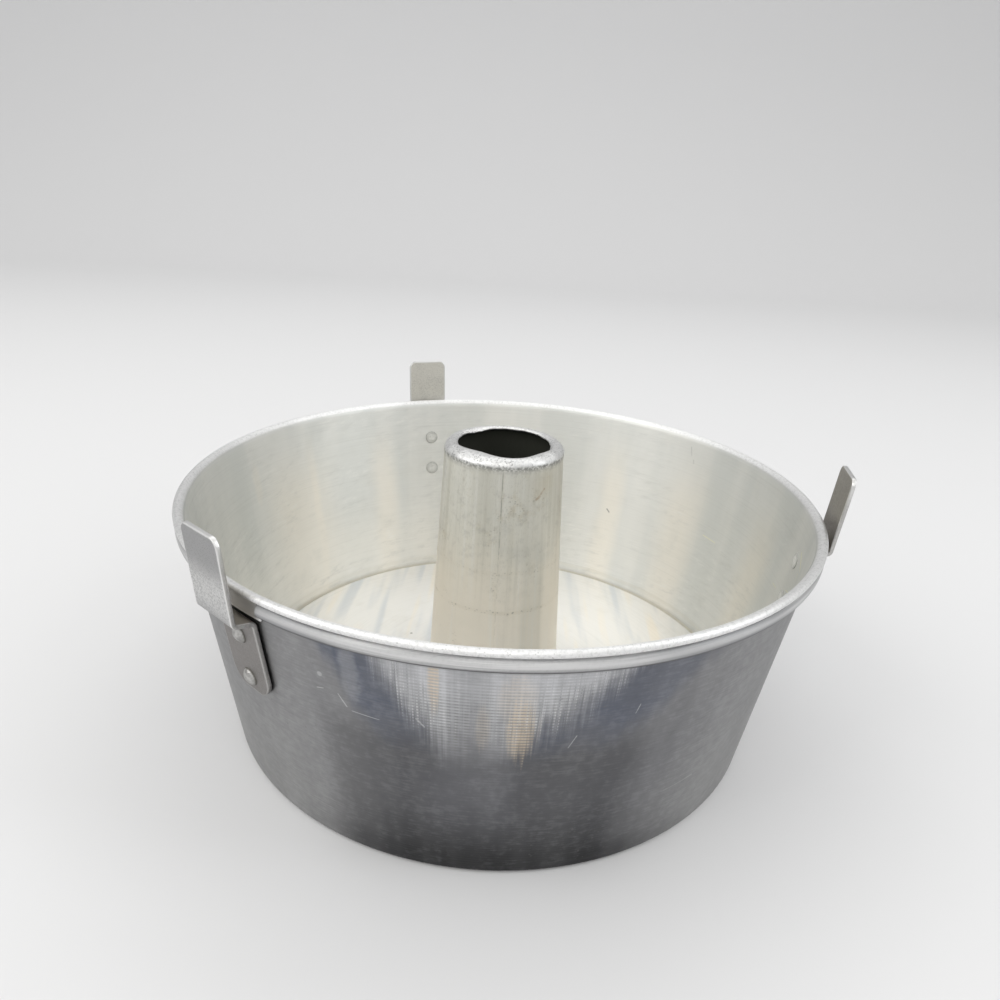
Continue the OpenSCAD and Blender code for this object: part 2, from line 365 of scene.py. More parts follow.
class Graph:
    """The nodes of one material or world."""

    def __init__(self, tree: bpy.types.NodeTree) -> None:
        """Empties the tree."""
        self.tree = tree
        tree.nodes.clear()

    def node(self, kind: str, settings: Optional[Dict[str, Any]] = None,
             inputs: Optional[Dict[Union[int, str], Value]] = None) -> bpy.types.Node:
        """Adds a node.

        Args:
            kind: the node's type.
            settings: attributes, set first.
            inputs: values or signals by socket name or number.

        Returns:
            The node.
        """
        made = self.tree.nodes.new(kind)
        for name, value in (settings or {}).items():
            setattr(made, name, value)
        for name, value in (inputs or {}).items():
            socket = made.inputs[name]
            if isinstance(value, Signal):
                self.tree.links.new(value.socket, socket)
            elif socket.type == "RGBA" and len(value) == 3:
                socket.default_value = (*value, 1.0)
            elif socket.type == "VECTOR" and isinstance(value, (int, float)):
                socket.default_value = (value,) * 3
            else:
                socket.default_value = value
        return made

    def maths(self, operation: str, *values: Value) -> Signal:
        """The result of a Math node, or of Vector Math where a value is a vector."""
        vector = any(isinstance(v, Signal) and v.is_vector for v in values)
        kind = "ShaderNodeVectorMath" if vector else "ShaderNodeMath"
        made = self.node(kind, {"operation": operation}, dict(enumerate(values)))
        number = operation in ("DOT_PRODUCT", "LENGTH", "DISTANCE")
        return Signal(self, made.outputs["Value" if number or not vector else "Vector"])

    def most(self, *values: Value) -> Signal:
        """The largest of several values."""
        largest = values[0]
        for value in values[1:]:
            largest = self.maths("MAXIMUM", largest, value)
        return largest

    def size(self, value: Value) -> Signal:
        """A value without its sign."""
        return self.maths("ABSOLUTE", value)

    def place(self) -> Signal:
        """Object coordinates, in metres."""
        return Signal(self, self.node("ShaderNodeTexCoord").outputs["Object"])

    def direction(self, where: Signal, back: bool = False) -> Signal:
        """Direction about the axis in degrees, from the front or from the back."""
        x, y = where.part(0), where.part(1)
        return self.maths("ARCTAN2", x, y if back else 0.0 - y) * DEGREES

    def mark(self, name: str) -> Signal:
        """A point attribute of the piece."""
        made = self.node("ShaderNodeAttribute", {"attribute_name": name})
        return Signal(self, made.outputs["Fac"])

    def vector(self, x: Value, y: Value, z: Value) -> Signal:
        """A vector of three numbers."""
        made = self.node("ShaderNodeCombineXYZ", inputs={0: x, 1: y, 2: z})
        return Signal(self, made.outputs[0])

    def noise(self, where: Signal, scale: float, detail: float = 2.0,
              roughness: float = 0.5) -> Signal:
        """Noise between 0 and 1, with about scale lumps a unit of where."""
        made = self.node("ShaderNodeTexNoise", inputs={
            "Vector": where, "Scale": scale, "Detail": detail, "Roughness": roughness})
        return Signal(self, made.outputs[0])

    def drawn(self, across: Value, rise: Value, detail: float, roughness: float,
              layer: float = 0.0) -> Signal:
        """Noise drawn out by the scales of its two directions, in one of many layers."""
        return self.noise(self.vector(across, layer, rise), 1.0, detail, roughness)

    def cells(self, where: Signal, scale: float) -> Signal:
        """Distance to the nearest of scattered points, scale points a unit."""
        made = self.node("ShaderNodeTexVoronoi", {"feature": "F1"}, {
            "Vector": where, "Scale": scale})
        return Signal(self, made.outputs["Distance"])

    def step(self, value: Value, low: float, high: float) -> Signal:
        """Smooth step from 0 at low to 1 at high; low may be the larger."""
        made = self.node("ShaderNodeMapRange", {"interpolation_type": "SMOOTHSTEP"}, {
            "Value": value, "From Min": min(low, high), "From Max": max(low, high),
            "To Min": float(low > high), "To Max": float(low <= high)})
        return Signal(self, made.outputs[0])

    def between(self, value: Value, low: float, high: float, edge: float) -> Signal:
        """1 between low and high, falling to 0 over edge on both sides."""
        return self.step(value, low - edge, low) * self.step(value, high + edge, high)

    def blend(self, share: Value, first: Value, second: Value) -> Signal:
        """Colours first and second mixed by share."""
        made = self.node("ShaderNodeMix", {"data_type": "RGBA"}, {0: share, 6: first, 7: second})
        return Signal(self, made.outputs[2])

    def stroke(self, where: Signal, start: Point, end: Point, width: float) -> Signal:
        """1 on a straight stroke between two points in mm, 0 beyond its width in mm.

        With d = end - start and t = (p - start).d / d.d held between 0 and 1, the
        distance is |p - start - t d|.
        """
        a, d = Vector(start) * MM, (Vector(end) - Vector(start)) * MM
        gap = where - tuple(a)
        along = self.maths("DOT_PRODUCT", gap, tuple(d / d.length_squared))
        held = self.node("ShaderNodeClamp", inputs={0: along}).outputs[0]
        spine = self.maths("MULTIPLY", self.vector(*([Signal(self, held)] * 3)), tuple(d))
        return self.step(self.maths("LENGTH", gap - spine), width * MM, 0.3 * width * MM)

    def spot(self, where: Signal, centre: Point, radius: float, core: float = 0.0) -> Signal:
        """1 within core of a point in mm, falling to 0 at radius."""
        gap = self.maths("LENGTH", where - tuple(Vector(centre) * MM))
        return self.step(gap, radius * MM, core * MM)

    def oval(self, u: Signal, z: Signal, at_u: float, at_z: float, half_u: float,
             half_z: float, ragged: Signal) -> Signal:
        """1 inside an oval in direction and height, 0 outside, with a ragged edge.

        The distance is the length of ((u - at_u) / half_u, (z - at_z) / half_z).

        Args:
            u: direction in degrees.
            z: height in metres.
            at_u: direction of the middle.
            at_z: height of the middle.
            half_u: half width in degrees.
            half_z: half height in metres.
            ragged: noise that moves the edge in and out.

        Returns:
            The mask.
        """
        gap = self.vector((u - at_u) * (1 / half_u), (z - at_z) * (1 / half_z), 0.0)
        return self.step(self.maths("LENGTH", gap) + (ragged - 0.5) * 1.6, 1.25, 0.55)

    def hairlines(self, where: Signal, turn: float, length: float = 6.0,
                  spread: float = 3.4, width: float = 0.16) -> Signal:
        """Short straight scratches, all at one angle in upright planes facing y.

        They are the near surroundings of scattered points in a space drawn out
        along the scratches, (a / reach, b / spread, y / reach), with a along and b
        across them and reach = length spread / width.

        Args:
            where: object coordinates.
            turn: angle above the x axis, in degrees.
            length: length of a scratch, in mm.
            spread: distance between scratches across them, in mm.
            width: width of a scratch, in mm.

        Returns:
            The mask.
        """
        slope = math.radians(turn)
        limit = width / 2 / spread
        reach = length / 2 / limit
        ahead = (math.cos(slope) / reach / MM, 0.0, math.sin(slope) / reach / MM)
        aside = (-math.sin(slope) / spread / MM, 0.0, math.cos(slope) / spread / MM)
        drawn = self.vector(self.maths("DOT_PRODUCT", where, ahead),
                            self.maths("DOT_PRODUCT", where, aside),
                            where.part(1) * (1 / reach / MM))
        return self.step(self.cells(drawn, 1.0), limit, limit * 0.5)

    def bump(self, height: Signal, depth: float, below: Optional[Signal] = None) -> Signal:
        """A normal from a height between 0 and 1 that stands depth metres."""
        inputs: Dict[Union[int, str], Value] = {
            "Strength": 1.0, "Distance": depth, "Height": height}
        if below is not None:
            inputs["Normal"] = below
        return Signal(self, self.node("ShaderNodeBump", inputs=inputs).outputs[0])

    def end(self, shader: bpy.types.Node, kind: str = "Material") -> None:
        """Puts a shader on the tree's output."""
        out = self.node(f"ShaderNodeOutput{kind}")
        self.tree.links.new(shader.outputs[0], out.inputs["Surface"])


@dataclass(frozen=True)
class Metal:
    """What is the same all over one finish."""

    name: str
    metallic: float = 1.0
    anisotropy: float = 0.0
    anisotropy_turn: float = 0.25
    edge_tint: Colour = (0.75, 0.75, 0.75)

    def graph(self) -> Tuple[bpy.types.Material, Graph]:
        """A new material and its empty graph."""
        material = bpy.data.materials.new(self.name)
        material.use_nodes = True
        return material, Graph(material.node_tree)

    def close(self, graph: Graph, colour: Signal, roughness: Signal,
              normal: Signal, metallic: Optional[Signal] = None) -> None:
        """Puts the results on a Principled shader and ends the graph.

        Args:
            graph: the graph of the material.
            colour: base colour.
            roughness: roughness.
            normal: normal.
            metallic: metallic, where it varies.
        """
        shader = graph.node("ShaderNodeBsdfPrincipled", inputs={
            "Base Color": colour, "Roughness": roughness, "Normal": normal,
            "Metallic": self.metallic if metallic is None else metallic,
            "Anisotropic": self.anisotropy, "Anisotropic Rotation": self.anisotropy_turn,
            "Specular Tint": self.edge_tint})
        graph.end(shader)


@dataclass(frozen=True)
class SpunLines:
    """Fine turning lines that run round the pan."""

    pitch: float = 1.2 * MM
    depth: float = 0.012 * MM

    def ridges(self, graph: Graph, run: Signal) -> Signal:
        """Even ridges, 0 to 1: (1 + sin(2 pi run / pitch)) / 2."""
        return graph.maths("SINE", run * (math.tau / self.pitch)) * 0.5 + 0.5

    def scores(self, graph: Graph, where: Signal, run: Signal) -> Signal:
        """Uneven scores, 0 to 1: noise that is drawn out round the pan.

        Args:
            graph: the material's graph.
            where: object coordinates.
            run: distance along the outline.

        Returns:
            The noise's value.
        """
        drawn = graph.vector(where.part(0) * 14.0, where.part(1) * 14.0, run * 1000.0)
        return graph.noise(drawn, 1.3, 3.0, 0.65)


@dataclass(frozen=True)
class WallField:
    """What the layers of the outer wall's colour share.

    u is the direction from the front in degrees and z the height in metres. clouds
    and mottle are coarse and fine noise, wide and fine are noise drawn out upright,
    and ridges are the turning ridges.
    """

    where: Signal
    u: Signal
    z: Signal
    clouds: Signal
    mottle: Signal
    wide: Signal
    fine: Signal
    ridges: Signal


@dataclass(frozen=True)
class PanFinish(Metal):
    """The ring: dull and scuffed outside, paler inside, bright grained rim."""

    # Tones of the outer wall: low is paler as painted light, and the darker tones also lay painted
    # shade
    high: Colour = (0.345, 0.345, 0.35)
    low: Colour = (0.40, 0.40, 0.40)
    rear: Colour = (0.56, 0.56, 0.56)
    tarnish_and_shade: Colour = (0.185, 0.187, 0.20)
    dark: Colour = (0.06, 0.06, 0.063)
    shade: Colour = (0.02, 0.02, 0.021)
    # The next three colours are painted reflections on the outer wall; the first also lightens the
    # grain
    sheen_and_pale_grain: Colour = (0.66, 0.665, 0.685)
    blue_reflection: Colour = (0.115, 0.135, 0.19)
    warm: Colour = (0.82, 0.66, 0.46)
    scuff: Colour = (0.56, 0.56, 0.56)
    scratch: Colour = (0.82, 0.82, 0.82)
    # Inside tones: the warm and cool ones lay painted reflections, and floor_glow painted light
    inside: Colour = (0.83, 0.83, 0.80)
    inside_cool: Colour = (0.76, 0.77, 0.745)
    inside_warm: Colour = (0.90, 0.865, 0.79)
    inside_dull: Colour = (0.70, 0.70, 0.66)
    floor_glow: Colour = (0.98, 0.955, 0.89)
    wiped_dark: Colour = (0.60, 0.605, 0.58)
    wiped_pale: Colour = (0.94, 0.935, 0.90)
    rubbed: Colour = (0.52, 0.52, 0.49)
    spilt: Colour = (0.93, 0.91, 0.70)
    rim: Colour = (0.90, 0.90, 0.895)
    rim_grain: Colour = (0.56, 0.56, 0.55)
    bead: Colour = (0.45, 0.45, 0.455)
    grime_and_shade: Colour = (0.20, 0.20, 0.19)
    residue: Colour = (0.66, 0.635, 0.54)
    # A pale residue colour, also painted light in the crevice by the floor
    crust_and_painted_light: Colour = (0.84, 0.81, 0.71)
    lines: SpunLines = SpunLines()
    # The wedge of painted reflection: the height that its sides are measured from, how
    # high each side, left and right, rises in a degree, and its direction at that height
    wedge_z: float = 0.056
    wedge_rise: Tuple[float, float] = (0.0039, 0.0024)
    wedge_side: Tuple[float, float] = (-7.5, 5.0)
    # Painted warm reflections in the wedge: direction, height, half width, half height, strength
    glows: Tuple[Tuple[float, float, float, float, float], ...] = (
        (-7.5, 0.085, 0.8, 0.012, 0.9), (4.4, 0.069, 2.0, 0.013, 1.0),
        (3.6, 0.080, 2.6, 0.010, 0.4), (-0.8, 0.069, 1.0, 0.009, 0.35))
    # A small ringed dent: its middle and its radius, in mm
    ring_at: Point = (-51.5, -112.3, 77.8)
    ring_r: float = 1.25
    # Painted warm reflections inside, upright bands: direction from the back and half width, in
    # degrees
    warm_bands: Tuple[Tuple[float, float], ...] = (
        (-55.0, 1.2), (-34.0, 3.0), (-60.0, 9.0), (31.0, 3.2), (53.0, 5.5), (82.0, 5.0))
    # Short scratches outside: from one point to the other and how wide, in mm
    outer_marks: Tuple[Tuple[Point, Point, float], ...] = (
        ((59.8, -101.1, 28.5), (71.7, -93.4, 30.0), 0.32),
        ((-53.3, -111.8, 71.5), (-51.2, -112.9, 72.1), 0.30),
        ((-46.2, -115.0, 71.8), (-43.5, -115.3, 67.5), 0.30),
        ((-21.6, -121.6, 69.5), (-19.2, -121.6, 66.7), 0.42),
        ((24.3, -119.8, 60.4), (26.5, -120.0, 65.3), 0.25),
        ((44.1, -115.7, 71.5), (45.2, -115.9, 75.0), 0.25),
        ((-41.9, -115.8, 66.4), (-33.2, -118.5, 65.8), 0.25),
    )
    # The same inside: dark marks, then pale yellow ones
    dark_marks: Tuple[Tuple[Point, Point, float], ...] = (
        ((98.5, 79.0, 94.7), (98.9, 77.5, 90.3), 0.35),
        ((99.8, 75.9, 88.6), (100.0, 75.2, 86.7), 0.35),
        ((61.2, 102.3, 47.1), (62.4, 101.4, 45.7), 0.60),
    )
    pale_marks: Tuple[Tuple[Point, Point, float], ...] = (
        ((122.3, -25.8, 85.8), (119.5, -34.0, 81.3), 0.60),
        ((119.8, -32.1, 79.4), (119.0, -33.1, 75.8), 0.50),
        ((121.2, -6.1, 61.3), (120.9, -11.2, 61.6), 0.30),
        ((119.9, -24.0, 67.6), (119.1, -28.4, 68.7), 0.35),
        ((105.7, 57.4, 54.1), (109.9, 48.8, 53.9), 0.35),
    )

    def strokes(self, g: Graph, where: Signal,
                marks: Sequence[Tuple[Point, Point, float]]) -> Signal:
        """The strongest of several strokes at each point."""
        return g.most(*(g.stroke(where, *mark) for mark in marks))

    def outer_colour(self, g: Graph, where: Signal, ridges: Signal) -> Signal:
        """Colour of the outer wall, laid in layers from the dull metal to its grain.

        Args:
            g: the material's graph.
            where: object coordinates.
            ridges: the turning ridges.

        Returns:
            The colour.
        """
        z = where.part(2)
        u = g.direction(where)
        at = WallField(where, u, z,
                       clouds=g.noise(where, 24.0, 3.0, 0.55),
                       mottle=g.noise(where, 60.0, 4.0, 0.65),
                       wide=g.drawn(u * 0.42, z * 7.0, 2.0, 0.6),
                       fine=g.drawn(u * 1.9, z * 26.0, 2.0, 0.7), ridges=ridges)
        colour, wedge = self.painted_wedge_reflections(g, at, self.wall_tone_and_shade(g, at))
        return self.grained(g, at, self.scuffed(g, at, colour), wedge)

    def wall_tone_and_shade(self, g: Graph, at: WallField) -> Signal:
        """The dull wall with painted shading: paler low down as painted light, dark in front and
        darkest near the table as painted shade, paler at the rear.
        """
        u, z, clouds = at.u, at.z, at.clouds
        upright = g.drawn(u * 0.13, z * 7.0, 2.0, 0.55)
        front = g.step(g.size(u - 4.0) + (clouds - 0.5) * 12.0, 40.0, 12.0)
        rear = g.step(g.size(u), 75.0, 130.0) * (0.75 + g.step(upright, 0.35, 0.65) * 0.25)
        near_table = g.step(z + (clouds - 0.5) * 0.01, 0.040, 0.008)
        # Paler low down than high up: painted light against the shade near the table
        colour = g.blend(g.step(z, 0.070, 0.005), self.high, self.low)
        colour = g.blend(rear, colour, self.rear)
        # Darker in front, darker still near the table and darkest at its foot in front: painted
        # shade
        colour = g.blend(front, colour, self.tarnish_and_shade)
        colour = g.blend(front * front * near_table * 0.92, colour, self.dark)
        colour = g.blend(front * g.step(z, 0.017, 0.004) * 0.6, colour, self.shade)
        colour = g.blend(g.step(upright, 0.35, 0.70) * 0.12, colour, self.scuff)
        # Darker patches to each side of the front: painted shade
        lean = u + (clouds - 0.5) * 8.0
        deep = g.most(g.between(lean, 9.0, 19.0, 8.0), g.between(lean, -21.0, -12.0, 7.0) * 0.85)
        return g.blend(deep * g.step(z, 0.070, 0.054) * 0.42, colour, self.dark)

    def painted_wedge_reflections(self, g: Graph, at: WallField, colour: Signal) -> Tuple[Signal, Signal]:
        """Lays on a wedge of painted reflection, and painted blue reflection beside it.

        The wedge is wide under the rim and narrow below, and is streaked upright.
        out is how far a place lies beyond its sides, in degrees, with torn edges.

        Args:
            g: the material's graph.
            at: what the layers share.
            colour: the colour so far.

        Returns:
            The colour, and the wedge's mask.
        """
        u, z, clouds, mottle, wide, fine = at.u, at.z, at.clouds, at.mottle, at.wide, at.fine
        torn = (wide - 0.5) * 5.0 + (clouds - 0.5) * 4.0 + (mottle - 0.5) * 4.0
        left, right = ((self.wedge_z - z) * (1 / rise) for rise in self.wedge_rise)
        left, right = left + self.wedge_side[0] - u, right + u - self.wedge_side[1]
        out = g.most(left * 1.3, right * 0.85) + torn
        flank = g.step(out, -10.0, -3.0)
        wedge = g.step(out + (fine - 0.5) * 9.0, 2.5, -5.0)
        wedge = wedge * g.step(z + (wide - 0.5) * 0.012 + (mottle - 0.5) * 0.006, 0.048, 0.068)
        # The wedge's colour is a painted reflection, bright and streaked upright
        lit = wedge * (0.56 + g.step(z, 0.058, 0.084) * 0.34 + (wide - 0.5) * 0.9)
        lit = lit * (1.0 - g.between(u, -5.0, -1.0, 1.5) * 0.22)
        colour = g.blend(lit, colour, self.sheen_and_pale_grain)
        # Blue beside the wedge: painted reflection
        blue = g.between(out, 2.0, 8.0, 6.0) * g.step(z + (mottle - 0.5) * 0.02, 0.052, 0.074)
        blue = blue * (0.48 + g.step(clouds, 0.35, 0.65) * 0.30)
        blue = blue * (1.0 - g.step(u, 8.0, 14.0) * 0.2)
        colour = g.blend(blue * g.step(z, 0.104, 0.086), colour, self.blue_reflection)
        broken = g.step(at.ridges + (fine - 0.5) * 1.2, 0.15, 0.85)
        # Warm streaks in the wedge: painted reflections
        glow = g.most(*(g.oval(u, z, *oval, fine) * much for *oval, much in self.glows))
        colour = g.blend(glow * (0.22 + broken * 0.42), colour, self.warm)
        hatch = g.drawn(u * 3.2, z * 45.0, 2.0, 0.7, layer=5.0)
        dashes = wedge * (0.15 + flank * 0.85) * g.step(z, 0.058, 0.070)
        pale = dashes * g.step(hatch, 0.52, 0.66) * (0.2 + broken * 0.6)
        dark = dashes * g.step(hatch, 0.48, 0.34) * (0.1 + broken * 0.4)
        colour = g.blend(pale, colour, self.scratch)
        return g.blend(dark, colour, self.dark), wedge

    def scuffed(self, g: Graph, at: WallField, colour: Signal) -> Signal:
        """Lays on a rubbed place, hairlines, single scratches and a ringed dent."""
        where, clouds, mottle = at.where, at.clouds, at.mottle
        rub = g.oval(at.u, at.z, -19.8, 0.081, 1.5, 0.010, mottle * 1.5 - 0.25)
        colour = g.blend(rub * 0.30, colour, self.scuff)
        hair = g.most(g.hairlines(where, 24.0), g.hairlines(where, -38.0, 4.0, 4.3),
                      g.hairlines(where, 3.0, 9.0, 5.0, 0.2))
        short = g.most(g.hairlines(where, -20.0, 2.2, 1.5, 0.14),
                       g.hairlines(where, -52.0, 1.8, 1.7, 0.14))
        worked = g.oval(at.u, at.z, -18.0, 0.074, 5.5, 0.013, mottle)
        hair = hair * g.step(clouds, 0.44, 0.60) * 0.15 + short * worked * 0.34
        away = g.maths("LENGTH", where - tuple(Vector(self.ring_at) * MM))
        ring = g.step(g.size(away - self.ring_r * MM), 0.30 * MM, 0.1 * MM)
        marks = g.most(self.strokes(g, where, self.outer_marks), ring * 0.7)
        marks = marks * g.step(mottle, 0.30, 0.50)
        colour = g.blend(g.most(marks * 0.45, hair), colour, self.scratch)
        specks = g.step(g.cells(where, 300.0), 0.16, 0.08) * g.step(clouds, 0.45, 0.6)
        return g.blend(specks * 0.30, colour, self.grime_and_shade)

    def grained(self, g: Graph, at: WallField, colour: Signal, wedge: Signal) -> Signal:
        """Lays on the grain, painted shade between the ridges and painted shade below the bead."""
        u, z, fine = at.u, at.z, at.fine
        grey = g.noise(at.where, 330.0, 3.0, 0.6)
        brushed = g.drawn(u * 0.30, z * 1300.0, 2.0, 0.6)
        grain = (at.mottle - 0.5) * 0.22 + (grey - 0.5) * 0.36 + (brushed - 0.5) * 0.30
        colour = g.blend(grain + 0.06, colour, self.dark)
        colour = g.blend(grain * -0.7, colour, self.sheen_and_pale_grain)
        # Darker between the turning ridges, more in a band low in front and in the wedge: painted
        # shade
        band = g.step(z + (fine - 0.5) * 0.008, 0.044, 0.052) * g.step(g.size(u), 24.0, 12.0)
        lines = band * (0.14 + wedge * g.step(z, 0.090, 0.074) * 0.40)
        lines = lines * g.step(at.wide, 0.15, 0.50) * (0.45 + g.step(fine, 0.36, 0.60) * 0.55)
        colour = g.blend((1.0 - at.ridges) * (0.05 + lines), colour, self.grime_and_shade)
        # A dark line on the wall just below the bead: painted shade
        return g.blend(g.step(z, 0.0892, 0.0918) * 0.35, colour, self.dark)

    def inner_colour(self, g: Graph, where: Signal) -> Signal:
        """Colour of the inner wall.

        Warm and cool bands of painted reflection stand upright at their directions from the back,
        with painted light low on one side, faint wiping marks across them and a line of residue
        round the floor.

        Args:
            g: the material's graph.
            where: object coordinates.

        Returns:
            The colour.
        """
        z = where.part(2)
        u = g.direction(where, back=True)
        clouds = g.noise(where, 22.0, 3.0, 0.55)
        mottle = g.noise(where, 75.0, 3.0, 0.6)
        lean = u + (clouds - 0.5) * 5.0
        upright = g.drawn(u * 0.10, z * 5.0, 3.0, 0.5, layer=3.0)
        # Cool and pale upright bands: painted reflection
        colour = g.blend(g.step(upright, 0.35, 0.65), self.inside, self.inside_cool)
        # Warm upright bands: painted reflections
        for at, half in self.warm_bands:
            band = g.step(g.size(lean - at), half * 1.7, half * 0.2)
            colour = g.blend(band * g.step(z, 0.098, 0.055) * 0.75, colour, self.inside_warm)
        # Paler low on one side: painted light reflected from the floor
        near_floor = g.step(z, 0.055, 0.020) * g.step(u, -10.0, -24.0)
        colour = g.blend(near_floor * 0.45, colour, self.floor_glow)
        wiped = g.drawn(u * 0.20, z * 330.0 - u * 0.10, 3.0, 0.65)
        dark = g.step(wiped, 0.50, 0.72) * g.step(clouds, 0.36, 0.58)
        pale = g.step(wiped, 0.46, 0.30) * g.step(clouds, 0.38, 0.58)
        colour = g.blend(dark * 0.30, colour, self.wiped_dark)
        colour = g.blend(pale * 0.35, colour, self.wiped_pale)
        rubbed = g.most(g.hairlines(where, 14.0, 5.0, 3.6, 0.2),
                        g.hairlines(where, -30.0, 3.5, 4.2, 0.2))
        colour = g.blend(rubbed * g.step(mottle, 0.52, 0.64) * 0.22, colour, self.rubbed)
        pale_oval = g.oval(u, z, -73.0, 0.078, 1.5, 0.012, mottle)
        colour = g.blend(pale_oval * 0.35, colour, self.inside_warm)
        colour = g.blend(g.step(mottle, 0.5, 0.8) * 0.25, colour, self.inside_dull)
        creep = g.noise(where, 55.0, 3.0)
        right = g.step(u, -60.0, 40.0)
        line = g.step(z + creep * 0.0016, 0.0062, 0.0046) * (0.30 + right * 0.10)
        film = g.between(z + creep * 0.0022, 0.0088, 0.0098, 0.0010) * (0.10 + right * 0.10)
        colour = g.blend(line, colour, self.residue)
        colour = g.blend(film, colour, self.residue)
        colour = g.blend(self.strokes(g, where, self.dark_marks) * 0.6, colour, self.grime_and_shade)
        spilt = self.strokes(g, where, self.pale_marks) * g.step(mottle, 0.25, 0.5)
        return g.blend(spilt * 0.8, colour, self.spilt)

    def rim_colour(self, g: Graph, grain: Signal, pits: Signal) -> Signal:
        """Colour of the rim's top: bright, with grey grain and dark pits."""
        colour = g.blend(g.step(grain, 0.40, 0.7) * 0.40, self.rim, self.rim_grain)
        return g.blend(pits * 0.28, colour, self.grime_and_shade)

    def bead_colour(self, g: Graph, where: Signal, grain: Signal) -> Signal:
        """Colour of the bead: dull, streaked along, darker at its sides and groove as painted
        shade, bright on its crest as wear and painted highlight, and where it is pressed as
        painted light.
        """
        run, worn, groove = g.mark("run"), g.mark("worn"), g.mark("groove")
        turn = g.direction(where)
        along = g.noise(g.vector(where.part(0) * 30.0, where.part(1) * 30.0, run * 1400.0), 1.0)
        colour = g.blend(g.step(grain, 0.40, 0.75) * 0.22, self.bead, self.tarnish_and_shade)
        colour = g.blend(g.step(along, 0.42, 0.62) * 0.30, colour, self.rim)
        # Darker 25 to 42 degrees to each side of the front: painted shade
        colour = g.blend(g.between(g.size(turn), 25.0, 42.0, 9.0) * 0.6, colour, self.tarnish_and_shade)
        # Bright crest: wear and a painted highlight; bright pressed stretch: painted light
        colour = g.blend(worn * 0.8, colour, self.rim)
        # Dark in the groove and under the bead: painted shade
        return g.blend(groove * 0.9, colour, self.dark)

    def material(self) -> bpy.types.Material:
        """The ring's material."""
        material, g = self.graph()
        where, run = g.place(), g.mark("run")
        inner, rim, bead, groove, crease = (
            g.mark(name) for name in ("inner", "rim", "bead", "groove", "crease"))
        ridges = self.lines.ridges(g, run)
        scores = self.lines.scores(g, where, run)
        clouds = g.noise(where, 26.0, 3.0, 0.55)
        grain = g.noise(where, 900.0, 3.0, 0.7)
        pits = (g.step(g.cells(where, 900.0), 0.30, 0.12)
                * g.step(g.noise(where, 150.0), 0.46, 0.62))
        outer = self.outer_colour(g, where, ridges)
        colour = g.blend(inner, outer, self.inner_colour(g, where))
        colour = g.blend(bead, colour, self.bead_colour(g, where, grain))
        colour = g.blend(rim, colour, self.rim_colour(g, grain, pits))
        # A dark line along the crease under the rim's inner edge, stronger in front: painted shade
        ahead = g.step(where.part(1), -0.03, -0.09)
        colour = g.blend(crease * (0.15 + ahead * 0.45), colour, self.grime_and_shade)
        colour = g.blend(g.step(scores, 0.45, 0.8) * (0.12 - inner * 0.06), colour, self.grime_and_shade)
        # Pale residue in the crevice by the floor, made pale as painted light against the shade in
        # the gap
        crevice = g.step(where.part(2), 0.0052, 0.0040) * inner
        colour = g.blend(crevice * 0.8, colour, self.crust_and_painted_light)
        rough = 0.36 + clouds * 0.14 + scores * 0.10 + crevice * 0.2 + bead * 0.05
        rough = rough + inner * 0.06 - rim * 0.04 + rim * grain * 0.1
        waves = ridges * (1.0 - rim) * (1.0 - inner * 0.7) * 0.5 + scores * 0.5
        normal = g.bump(waves, self.lines.depth)
        normal = g.bump(grain * (0.3 + rim * 0.8) + pits * rim * -1.0, 0.03 * MM, normal)
        normal = g.bump(clouds, 0.9 * MM, normal)
        self.close(g, colour, rough, normal, 1.0 - crevice * 0.75 - groove * 0.4)
        return material


